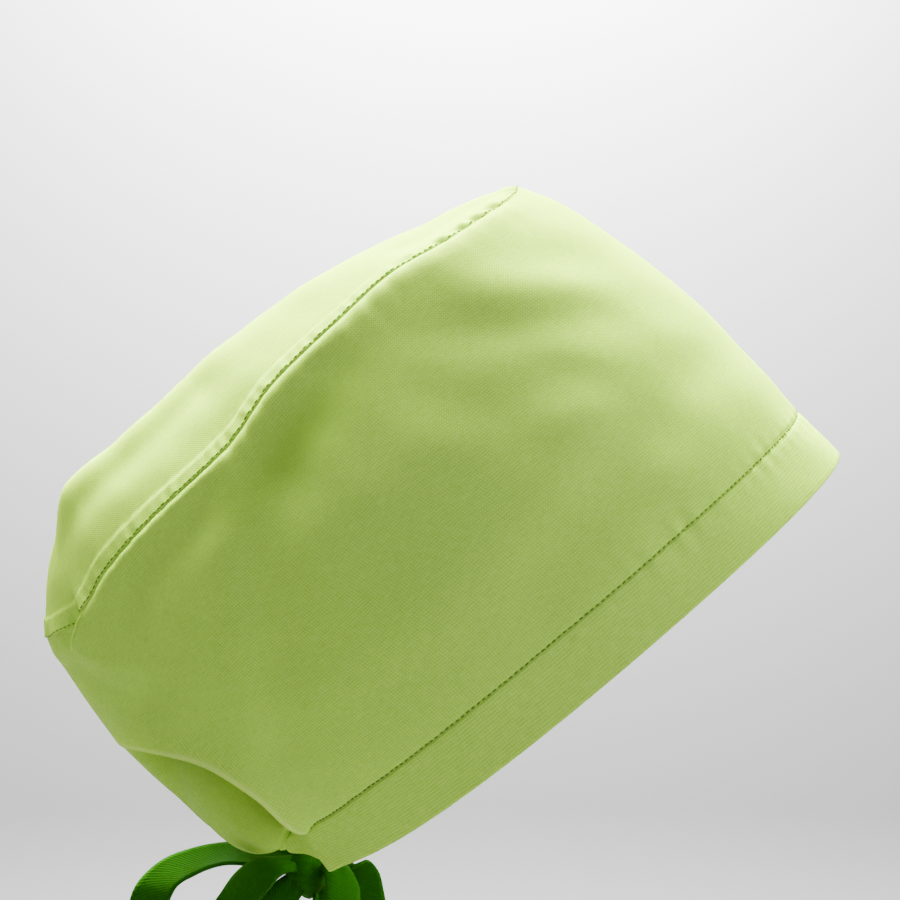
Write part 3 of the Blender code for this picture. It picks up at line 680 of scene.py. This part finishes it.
def makeRibbonMaterial(name):
    shader = Shader(name)
    place, u, v = clothMap(shader)
    wave = 2 * math.pi / ribbonCloth["ribPitch"]
    wobble = shader.noise(place, 240.0, 2.0)
    ribs = ((u * 0.82 + v * 0.57 + wobble * 0.0006) * wave).sin()
    cross = ((u * 0.5 - v * 0.9) * wave * 1.7).sin()
    fuzz = shader.noise(place, 900.0, 2.0)
    tone = 0.40 + ribs * ribbonCloth["ribTone"] + cross * ribbonCloth["crossTone"]
    tone = (tone + (fuzz - 0.5) * ribbonCloth["fuzzTone"]).clamp()
    colour = shader.mix(tone, ribbonCloth["base"], ribbonCloth["light"])
    relief = {"Strength": 0.3, "Distance": ribbonCloth["ribDepth"], "Height": ribs + cross * 0.3}
    bump = shader.node("ShaderNodeBump", None, relief)
    shader.set(Base_Color=colour, Roughness=0.85 + (fuzz - 0.5) * 0.1, Normal=bump)
    shader.set(Sheen_Weight=0.03, Sheen_Roughness=0.4, Specular_IOR_Level=0.06)
    return shader.material


def makeThreadMaterial(name, colour):
    shader = Shader(name)
    place = shader.node("ShaderNodeTexCoord", output=3)
    fuzz = shader.noise(place, 2500.0, 1.0)
    darker = tuple(0.6 * c for c in colour)
    shader.set(Base_Color=shader.mix(fuzz, darker, colour), Roughness=0.75 + fuzz * 0.15)
    shader.set(Sheen_Weight=0.3, Specular_IOR_Level=0.3)
    return shader.material


wallFinish = makeClothMaterial("limeCottonWall", (1.0, 1.0, 1.0))
crownFinish = makeClothMaterial("limeCottonCrown", (1.03, 1.02, 1.05))
ribbonFinish = makeRibbonMaterial("greenRibbon")
threadFinish = makeThreadMaterial("greenThread", (0.10, 0.23, 0.015))

print("stage 4: the ribbon's bow")

ribbon = {
    "width": 0.0135, "thickness": 0.0011, "narrow": 0.50, "pinch": 0.014,
    "steps": 90, "across": 10, "cup": 0.0008, "pinchWave": 0.0006,
}
knot = {"size": (0.0150, 0.0120, 0.0145), "gap": 0.0003, "hemCloth": 0.0024}  # the CAD's own

# mm to the wearer's left, back and up from the knot's middle, then the way that the width lies
rearLoop = (
    (1.0, 6.5, 0.4, -0.86, 0.0, -0.5),
    (2.2, 14.5, 1.0, -0.95, 0.0, -0.30),
    (3.0, 22.5, 1.6, -0.95, 0.0, -0.30),
    (3.0, 33.0, 1.8, -0.95, 0.0, -0.30),
    (0.8, 43.5, -0.2, -0.90, -0.05, -0.42),
    (-4.0, 52.5, -4.0, -0.7, -0.6, -0.4),
    (-7.8, 56.8, -10.0, -0.1, -1.0, -0.1),
    (-9.5, 57.5, -18.0, 0.0, -1.0, 0.0),
    (-11.0, 54.0, -25.0, -0.3, -0.8, -0.3),
    (-12.0, 45.0, -27.5, -0.8, -0.2, -0.5),
    (-12.5, 36.0, -22.0, -0.6, -0.5, -0.6),
    (-12.0, 28.5, -12.5, -0.5, -0.7, -0.5),
    (-11.0, 22.0, -4.0, -0.5, -0.7, -0.5),
    (-9.5, 16.0, 0.8, -0.8, -0.4, -0.4),
    (-7.0, 10.5, 1.8, -1.0, 0.0, -0.2),
    (-4.0, 6.0, 1.0, -1.0, 0.3, -0.3),
)
sideLoop = (
    (-6.0, -3.5, 0.8, -0.4, 0.9, 0.0),
    (-10.0, -6.8, 1.2, -0.5, 0.85, 0.0),
    (-13.0, -9.0, -2.2, -0.6, 0.8, 0.0),
    (-14.3, -10.1, -9.5, -0.6, 0.8, 0.0),
    (-14.7, -10.4, -21.0, -0.6, 0.8, 0.0),
    (-14.4, -10.2, -34.0, -0.6, 0.8, 0.0),
    (-11.8, -8.6, -43.0, -0.6, 0.8, 0.0),
    (-8.2, -6.3, -39.5, -0.6, 0.8, 0.0),
    (-5.6, -4.2, -26.0, -0.6, 0.8, 0.0),
    (-2.6, -2.1, -7.8, -0.55, 0.83, 0.0),
)
rearTail = (
    (-4.5, 5.0, -4.5, 0.2, 0.5, 0.8),
    (-7.0, 9.0, -7.0, 0.3, 0.8, 0.5),
    (-9.0, 12.5, -11.5, 0.2, 1.0, 0.2),
    (-10.0, 14.0, -19.0, 0.0, 1.0, 0.0),
    (-9.8, 14.2, -32.0, -0.1, 1.0, 0.0),
    (-8.5, 13.6, -48.0, -0.2, 1.0, 0.0),
    (-6.5, 12.4, -65.0, -0.3, 1.0, 0.0),
    (-4.5, 10.6, -85.0, -0.4, 1.0, 0.0),
)
sideTail = (
    (4.0, -5.0, 0.0, 0.2, 0.3, 1.0),
    (5.5, -9.5, -0.5, 0.1, 0.5, 0.9),
    (6.6, -13.6, -5.0, 0.0, 0.9, 0.5),
    (7.2, -16.2, -14.0, 0.0, 1.0, 0.2),
    (7.0, -17.4, -28.0, 0.1, 1.0, 0.0),
    (6.0, -17.7, -43.0, 0.2, 1.0, 0.0),
    (4.6, -17.2, -59.0, 0.3, 1.0, 0.0),
    (2.8, -16.0, -79.0, 0.4, 1.0, 0.0),
)


def knotPlace():  # just under the middle of the hem at the nape
    turn = math.radians(shape["tilt"])
    back = shape["brimLength"] / 2 - shape["napeForward"] - knot["hemCloth"] / 2
    up = -(knot["size"][2] / 2 + knot["gap"])
    return np.array((0.0, back * math.cos(turn) + up * math.sin(turn), up * math.cos(turn) - back * math.sin(turn)))


knotMiddle = knotPlace()


def seated(point):  # on its ray from the knot's middle, one gap off the knot
    onKnot = point / np.linalg.norm(point / (np.array(knot["size"]) / 2))
    return onKnot * (1 + knot["gap"] / np.linalg.norm(onKnot))


def makeRibbon(name, node, route, loop):
    rows = np.array(route, dtype=float)
    centre = rows[:, :3] / 1000
    centre[0] = seated(centre[0])
    if loop:
        centre[-1] = seated(centre[-1])
    length = lengthAlong(centre)
    places = np.linspace(0.0, length[-1], ribbon["steps"] + 1)
    path, side = roundCurve(length, centre, places), roundCurve(length, rows[:, 3:], places)
    tangent = unit(np.gradient(path, axis=0))
    side = unit(side - tangent * (side * tangent).sum(axis=1, keepdims=True))
    face = np.cross(tangent, side)
    ends = np.minimum(places, places[-1] - places) if loop else places
    opened = np.clip(ends / ribbon["pinch"], 0.0, 1.0)
    half = ribbon["width"] / 2 * (ribbon["narrow"] + (1 - ribbon["narrow"]) * opened)
    across = np.linspace(-1.0, 1.0, ribbon["across"] + 1)
    bend = ribbon["cup"] * (across**2 - 0.4)[None, :]
    bend = bend + ribbon["pinchWave"] * (1 - opened)[:, None] * np.cos(across * 7.0)[None, :]
    sideways = (half[:, None] * across[None, :])[..., None]
    grid = path[:, None] + side[:, None] * sideways + face[:, None] * bend[..., None]
    uv = np.stack(np.meshgrid(places, across * ribbon["width"] / 2, indexing="ij"), axis=-1)
    grid = grid + knotMiddle
    body = addObject(name, gridMesh(name, grid, uv, False), ribbonFinish)
    thicken(body, ribbon["thickness"], 0.0)
    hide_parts(node)
    return body, path + knotMiddle, float(lengthAlong(path)[-1])


knotShape = {
    "size": (0.0150, 0.0150, 0.0175), "shift": (-0.0015, 0.0036, -0.0038),  # against the CAD knot's middle
    "pleats": 7, "pleatDepth": 0.09, "pleatTwist": 1.1, "lean": 0.35, "rows": 44, "sides": 96,
    "outlineAt": (0.0, 0.04, 0.15, 0.40, 0.62, 0.85, 0.96, 1.0),
    "outline": (0.0, 0.45, 0.80, 1.0, 0.92, 0.52, 0.22, 0.0),
}


def makeKnot():  # a fan of ribbon that narrows to its foot
    t, angle = np.meshgrid(np.linspace(0.0, 1.0, knotShape["rows"] + 1),
                           np.linspace(0.0, 2 * math.pi, knotShape["sides"], endpoint=False), indexing="ij")
    radius = np.interp(t, knotShape["outlineAt"], knotShape["outline"])
    folds = np.abs(np.sin(knotShape["pleats"] * angle / 2 + knotShape["pleatTwist"] * t))
    pleat = 1 + knotShape["pleatDepth"] * folds * np.sin(math.pi * t)
    size = np.array(knotShape["size"]) / 2
    x, y = size[0] * radius * pleat * np.cos(angle), size[1] * radius * pleat * np.sin(angle)
    y = y - size[1] * knotShape["lean"] * (t - 0.4) * (1 - 0.5 * t)
    z = size[2] * (1 - 2 * t)
    grid = np.stack([x, y, z], axis=-1) + knotMiddle + np.array(knotShape["shift"])
    uv = np.stack([t * 0.018, angle * 0.006], axis=-1)
    grid, uv = grid.transpose(1, 0, 2), uv.transpose(1, 0, 2)
    mesh = gridMesh("bowKnot", grid, uv, True)
    orient(mesh)
    body = addObject("bowKnot", mesh, ribbonFinish)
    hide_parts("tie_knot")
    return body


bowKnot = makeKnot()
strands = (
    ("bowLoopRear", "tie_loop_rear", rearLoop, True, "object"),
    ("bowLoopSide", "tie_loop_side", sideLoop, True, "object"),
    ("bowTailRear", "tie_tail_rear", rearTail, False, "bare"),
    ("bowTailSide", "tie_tail_side", sideTail, False, "bare"),
)
for name, node, route, loop, farEnd in strands:
    body, path, total = makeRibbon(name, node, route, loop)

print("stage 5: wall and hem")

cloth = {
    "stationsHalf": 265, "wallRows": 170, "hemRows": 14, "innerRows": 9,
    "thickness": 0.0006, "turnRadius": 0.0007, "hemMap": 0.1075,  # where the hem starts on the cloth map
}


def byDensity(density, fine, count):  # count places, closer together where the density is high
    total = np.concatenate(([0.0], np.cumsum((density[1:] + density[:-1]) / 2)))
    return np.interp(np.linspace(0, total[-1], count), total, fine)


def stationShares(side, v, count):  # stations closer together along the hanging fold
    fine = np.linspace(0.0, 1.0, 3001)
    route = np.array(lipFolds[side][0]["route"])
    centre = np.interp(v, route[:, 1], route[:, 0])
    spread = 0.012 + 0.020 * float(smoothStep(1.35, 1.65, v))
    density = 1.0 + 6.0 * bell(fine - centre, spread) + 1.1 * smoothStep(0.74, 0.88, fine)
    return byDensity(density, fine, count)


def clothHalf(side, heights, inset):
    share = np.array([stationShares(side, float(v), cloth["stationsHalf"]) for v in np.clip(heights, 0, 2)]).T
    v = np.broadcast_to(heights[None, :], share.shape)
    return clothPoints(side, share, v, inset), share, v


def wallHeights():  # rows closer together at the stitches, under the crown seam and where the fold lies flat
    fine = np.linspace(0.0, 1.0, 2001)
    density = 1.0 + 1.5 * bell(fine, 0.03) + 1.5 * bell(1 - fine, 0.05) + 1.4 * bell(fine - 0.62, 0.12)
    return 1.0 + byDensity(density, fine, cloth["wallRows"] + 1)


def roundMap(halves, scale, start=0.0):  # the cloth map of two joined halves
    (_, right, rightHeight), (_, left, leftHeight) = halves
    u = np.concatenate((right, 2 - left[1:-1][::-1])) * shape["halfRound"]
    return np.stack([u, np.concatenate((rightHeight, leftHeight[1:-1])) * scale + start], axis=-1)


def makeWall():
    heights = wallHeights()
    halves = [clothHalf(side, heights, 0.0) for side in (-1, 1)]
    grid = wholeRound(halves[0][0], halves[1][0])
    # painted shade and painted highlight of the wall's folds, for its colour
    paintedFoldTones = [foldShade(side, half[1], half[2]) for side, half in zip((-1, 1), halves)]
    shade = np.concatenate((paintedFoldTones[0], paintedFoldTones[1][1:-1][::-1]))
    mesh = gridMesh("capWall", worn(grid), roundMap(halves, shape["wallWay"]), True, shade)
    body = addObject("capWall", mesh, wallFinish)
    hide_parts("wall_panel")
    return body, grid, halves


def makeHem():  # up the inside, round the lower edge and up the outside to the stitches
    radius = cloth["turnRadius"]
    inner = np.linspace(0.97, 0.02, cloth["innerRows"])
    arc = np.linspace(0.0, math.pi, 7)[1:-1]
    outer = np.linspace(0.0, 1.0, cloth["hemRows"] + 1)
    halves = []
    for side in (-1, 1):
        inside, share, v = clothHalf(side, inner, 2 * radius)
        middle, shareEdge, vEdge = clothHalf(side, np.zeros(len(arc)), radius)
        outside, shareOut, vOut = clothHalf(side, outer, 0.0)
        toOutside = unit(outside[:, :1] - middle)
        down = np.array((0.0, 0.0, -1.0))
        edge = middle + radius * (-np.cos(arc)[None, :, None] * toOutside + np.sin(arc)[None, :, None] * down)
        grid = np.concatenate((inside, edge, outside), axis=1)
        share = np.concatenate((share, shareEdge, shareOut), axis=1)
        v = np.concatenate((-v, vEdge, vOut), axis=1)
        halves.append((grid, share, v))
    grid = wholeRound(halves[0][0], halves[1][0])
    mesh = gridMesh("capHem", worn(grid), roundMap(halves, shape["hemWay"], cloth["hemMap"]), True)
    body = addObject("capHem", mesh, wallFinish)
    thicken(body, cloth["thickness"], -1.0)
    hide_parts("hem_band")
    return body, grid


capWall, wallGrid, wallHalves = makeWall()
capHem, hemGrid = makeHem()

print("stage 6: crown")

crown = {
    "stations": 280, "columns": 80, "thickness": 0.0006, "seamReach": 0.006, "ridge": 0.45, "seed": 31,
    "bandWidth": 0.0066, "bandRise": 0.0006, "bandEdge": 0.0009, "rippleDepth": 0.0004,
    "puckerPitch": 0.0062, "puckerDepth": 0.0003, "puckerReach": 0.0065,
    # share of the seam from its front, strength
    "gathers": ((0.055, 0.45), (0.115, 1.0), (0.150, 1.0), (0.178, 1.0), (0.214, 1.0), (0.262, 0.45)),
    # gatherShade: strength of the painted shade in the gathers
    "gatherDepth": 0.0012, "gatherWidth": 0.0023, "gatherShade": 1.5, "gatherReach": (0.0026, 0.0022),
}
# crown folds: along a, across a, along b, across b, width, depth
crownFolds = (
    (0.58, -0.42, 0.84, -0.46, 0.0085, -0.50),
    (0.60, 0.46, 0.82, 0.50, 0.0090, -0.40),
    (0.05, -0.50, 0.20, -0.62, 0.0075, -0.25),
    (0.05, 0.52, 0.20, 0.62, 0.0075, -0.25),
)


def seamLine(half, shares):  # the wall's own top edge at given shares
    top, own = half[0][:, -1], half[1][:, -1]
    return readAt(shares, own, top)


def plainSeam(shares):  # the same edge before any fold
    top = baseGrid[:, -1]
    return readAt(shares, np.linspace(0, 1, len(top)), top)


def crownBase():  # the crown's arch, moved at its edge to where the wall's folds have taken the seam
    shares = np.linspace(0.0, 1.0, crown["stations"] + 1)
    right = plainSeam(shares)
    left = right * (-1, 1, 1)
    rightShift = seamLine(wallHalves[0], shares) - right
    leftShift = seamLine(wallHalves[1], shares) * (-1, 1, 1) - left
    rise = np.interp(shares, np.linspace(0, 1, len(crownRise)), crownRise)
    t = np.linspace(-1.0, 1.0, crown["columns"] + 1)
    across = np.sin(t * math.pi / 2)
    soft = crown["ridge"]  # how round the crown is along its middle; its flanks are nearly straight
    arch = 1 - (np.sqrt(across**2 + soft**2) - soft) / (math.sqrt(1 + soft**2) - soft)
    grid = (right[:, None] * ((1 - across) / 2)[None, :, None] + left[:, None] * ((1 + across) / 2)[None, :, None])
    grid[..., 2] += rise[:, None] * arch[None, :]
    toRight = np.linalg.norm(grid - right[:, None], axis=2, keepdims=True)
    toLeft = np.linalg.norm(grid - left[:, None], axis=2, keepdims=True)
    grid += rightShift[:, None] * np.exp(-toRight / crown["seamReach"]) * (across < 1)[None, :, None]
    grid += leftShift[:, None] * np.exp(-toLeft / crown["seamReach"]) * (across > -1)[None, :, None]
    return grid, across


def fromSeam(grid, edge, edgeLength):  # how far each place is from the seam, and the nearest place along it
    flat = grid.reshape(-1, 3)
    way, seamPlace = np.full(len(flat), 1e9), np.zeros(len(flat))
    for k in range(len(edge) - 1):
        a, d = edge[k], edge[k + 1] - edge[k]
        size = np.dot(d, d)
        if size < 1e-16:
            continue
        s = np.clip(((flat - a) @ d) / size, 0.0, 1.0)
        gap = np.linalg.norm(flat - a - s[:, None] * d, axis=1)
        nearer = gap < way
        way = np.where(nearer, gap, way)
        seamPlace = np.where(nearer, edgeLength[k] + s * math.sqrt(size), seamPlace)
    return way.reshape(grid.shape[:2]), seamPlace.reshape(grid.shape[:2])


def upNormal(grid):
    normal = np.cross(np.gradient(grid, axis=0), np.gradient(grid, axis=1))
    size = np.linalg.norm(normal, axis=2, keepdims=True)
    normal = np.where(size > 1e-12, normal / np.maximum(size, 1e-12), (0.0, 0.0, 1.0))
    return normal * np.sign(normal[..., 2:3] + 1e-9)


def gathers(grid, way, seamPlace, edgeLength):  # the front end is drawn into small tucks at the seam
    rightLength, leftLength = lengthAlong(grid[:, 0])[-1], lengthAlong(grid[:, -1])[-1]
    start, fall = crown["gatherReach"]
    total = np.zeros_like(way)
    for share, strength in crown["gathers"]:
        for place in (share * rightLength, edgeLength[-1] - (share + 0.012) * leftLength):
            tuck = bell(seamPlace - place, crown["gatherWidth"]) * smoothStep(0.0, 0.0006, way)
            total += tuck * bell(np.maximum(way - start, 0), fall) * strength
    return total


def makeCrown():
    grid, across = crownBase()
    edge = np.concatenate((grid[:, 0], grid[:, -1][::-1]))
    edgeLength = lengthAlong(edge)
    way, seamPlace = fromSeam(grid, edge, edgeLength)
    normal = upNormal(grid)
    band = 1 - smoothStep(crown["bandWidth"], crown["bandWidth"] + crown["bandEdge"], way)
    out = crown["bandRise"] * smoothStep(0.0, crown["bandEdge"], way) * band
    paintedShadeTucks = gathers(grid, way, seamPlace, edgeLength)
    out -= crown["gatherDepth"] * paintedShadeTucks
    wave = pucker(seamPlace, crown["puckerPitch"], crown["seed"]) * smoothStep(0.0, 0.0015, way)
    out += crown["puckerDepth"] * wave * bell(way, crown["puckerReach"])
    length, half = shape["crownLength"], shape["crownWidth"] / 2
    u = grid[..., 1] - grid[0, 0, 1]
    w = np.broadcast_to(across[None, :] * half, u.shape)
    for alongA, acrossA, alongB, acrossB, width, depth in crownFolds:
        path = np.array(((alongA * length, acrossA * half), (alongB * length, acrossB * half)))
        distance, _, _ = toPath(u, w, path)
        out += depth * shape["foldDepth"] * bell(distance, width) * smoothStep(0.004, 0.012, way)
    out += crown["rippleDepth"] * ripple(u, w, crown["seed"] + 3) * smoothStep(0.006, 0.02, way)
    grid = grid + normal * out[..., None]
    uv = np.stack([u, w], axis=-1)
    # the gathers' painted shade goes into the foldShade attribute
    mesh = gridMesh("capCrown", worn(grid), uv, False, crown["gatherShade"] * paintedShadeTucks)
    orient(mesh, upwards=True)
    body = addObject("capCrown", mesh, crownFinish)
    thicken(body, crown["thickness"], -1.0)
    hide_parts("crown_panel")
    return body, grid, normal, way


capCrown, crownGrid, crownNormal, crownWay = makeCrown()

print("stage 7: stitches")

stitches = {
    "pitch": 0.0021, "length": 0.0016, "thread": 0.00050, "unevenness": 0.16,
    "crownInset": 0.0008, "clear": 0.0001, "seed": 5,
}


def stitchTree(finish):
    tree = bpy.data.node_groups.new("stitchRow", "GeometryNodeTree")
    face = tree.interface
    face.new_socket("Geometry", in_out="INPUT", socket_type="NodeSocketGeometry")
    names = {"pitch": "Stitch pitch", "length": "Stitch length", "thread": "Thread width", "unevenness": "Unevenness"}
    for key, label in names.items():
        socket = face.new_socket(label, in_out="INPUT", socket_type="NodeSocketFloat")
        socket.default_value = stitches[key]
    seed = face.new_socket("Seed", in_out="INPUT", socket_type="NodeSocketInt")
    seed.default_value = stitches["seed"]
    face.new_socket("Geometry", in_out="OUTPUT", socket_type="NodeSocketGeometry")

    def node(kind, settings=None, sockets=None):
        made = tree.nodes.new(kind)
        for key, setting in (settings or {}).items():
            setattr(made, key, setting)
        for key, item in (sockets or {}).items():
            if isinstance(item, bpy.types.NodeSocket):
                tree.links.new(item, made.inputs[key])
            else:
                made.inputs[key].default_value = item
        return made

    given = node("NodeGroupInput").outputs
    line = node("GeometryNodeMeshToCurve", None, {"Mesh": given["Geometry"]})
    even = node("GeometryNodeResampleCurve", {"mode": "LENGTH"},
                {"Curve": line.outputs[0], "Length": given["Stitch pitch"]})
    out = node("GeometryNodeInputNamedAttribute", {"data_type": "FLOAT_VECTOR"}, {"Name": "out"})
    tangent = node("GeometryNodeInputTangent")
    turnFirst = node("FunctionNodeAlignRotationToVector", {"axis": "Z"}, {"Vector": out.outputs[0]})
    turned = node("FunctionNodeAlignRotationToVector", {"axis": "X", "pivot_axis": "Z"},
                  {"Rotation": turnFirst.outputs[0], "Vector": tangent.outputs[0]})
    low = node("ShaderNodeMath", {"operation": "SUBTRACT"}, {0: 0.0, 1: given["Unevenness"]})
    sway = node("FunctionNodeRandomValue", {"data_type": "FLOAT"},
                {2: low.outputs[0], 3: given["Unevenness"], "Seed": given["Seed"]})
    swayTurn = node("ShaderNodeCombineXYZ", None, {2: sway.outputs[1]})
    swayed = node("FunctionNodeRotateRotation", {"rotation_space": "LOCAL"},
                  {"Rotation": turned.outputs[0], "Rotate By": swayTurn.outputs[0]})
    bead = node("GeometryNodeMeshUVSphere", None, {"Segments": 6, "Rings": 5, "Radius": 0.5})
    size = node("ShaderNodeCombineXYZ", None,
                {0: given["Stitch length"], 1: given["Thread width"], 2: given["Thread width"]})
    thread = node("GeometryNodeTransform", None, {"Geometry": bead.outputs[0], "Scale": size.outputs[0]})
    placed = node("GeometryNodeInstanceOnPoints", None,
                  {"Points": even.outputs[0], "Instance": thread.outputs[0], "Rotation": swayed.outputs[0]})
    real = node("GeometryNodeRealizeInstances", None, {"Geometry": placed.outputs[0]})
    smooth = node("GeometryNodeSetShadeSmooth", None, {"Geometry": real.outputs[0]})
    coloured = node("GeometryNodeSetMaterial", None, {"Geometry": smooth.outputs[0], "Material": finish})
    node("NodeGroupOutput", None, {0: coloured.outputs[0]})
    return tree


stitchNodes = stitchTree(threadFinish)


def makeStitches(name, points, outs, slot):  # on a closed line
    mesh = bpy.data.meshes.new(name + "Line")
    count = len(points)
    edges = [(k, (k + 1) % count) for k in range(count)]
    mesh.from_pydata(points.tolist(), edges, [])
    attribute = mesh.attributes.new("out", "FLOAT_VECTOR", "POINT")
    attribute.data.foreach_set("vector", outs.astype(np.float32).ravel())
    body = addBody(name + "Line", mesh)
    modifier = body.modifiers.new("stitchRow", "NODES")
    modifier.node_group = stitchNodes
    evaluated = body.evaluated_get(bpy.context.evaluated_depsgraph_get())
    result = bpy.data.meshes.new_from_object(evaluated)
    result.name = name
    bpy.data.objects.remove(body)
    return addObject(name, result, threadFinish)


def gridOuts(grid, row):
    normal = np.cross(np.gradient(grid, axis=1), np.gradient(grid, axis=0))
    return unit(normal[:, row])


def hemStitchLine():
    line = wallGrid[:, 0]
    outs = gridOuts(np.concatenate((wallGrid[-1:], wallGrid, wallGrid[:1])), 0)[1:-1]
    return worn(line + outs * stitches["clear"]), worn(outs)


def crownStitchLine():
    middle = crownGrid.shape[1] // 2
    sides = []
    for columns in (range(0, middle + 1), range(crownGrid.shape[1] - 1, middle - 1, -1)):
        columns = list(columns)
        points, outs = [], []
        for i in range(crownGrid.shape[0]):
            way = np.maximum.accumulate(crownWay[i, columns])
            if way[-1] <= stitches["crownInset"]:
                continue
            line, normal = crownGrid[i, columns], crownNormal[i, columns]
            points.append(readAt(stitches["crownInset"], way, line))
            outs.append(readAt(stitches["crownInset"], way, normal))
        sides.append((np.array(points), np.array(outs)))
    points = np.concatenate((sides[0][0], sides[1][0][::-1]))
    outs = unit(np.concatenate((sides[0][1], sides[1][1][::-1])))
    return worn(points + outs * stitches["clear"]), worn(outs)


hemStitches = makeStitches("hemStitches", *hemStitchLine(), "lime_cotton")
crownStitches = makeStitches("crownStitches", *crownStitchLine(), "lime_cotton_crown")

print("stage 8: what the cloth was cut to")


def gridArea(grid):
    a, b = np.diff(grid, axis=0)[:, :-1], np.diff(grid, axis=1)[:-1]
    return float(np.linalg.norm(np.cross(a, b), axis=2).sum())


print("areas", gridArea(wallGrid), gridArea(hemGrid), gridArea(crownGrid))
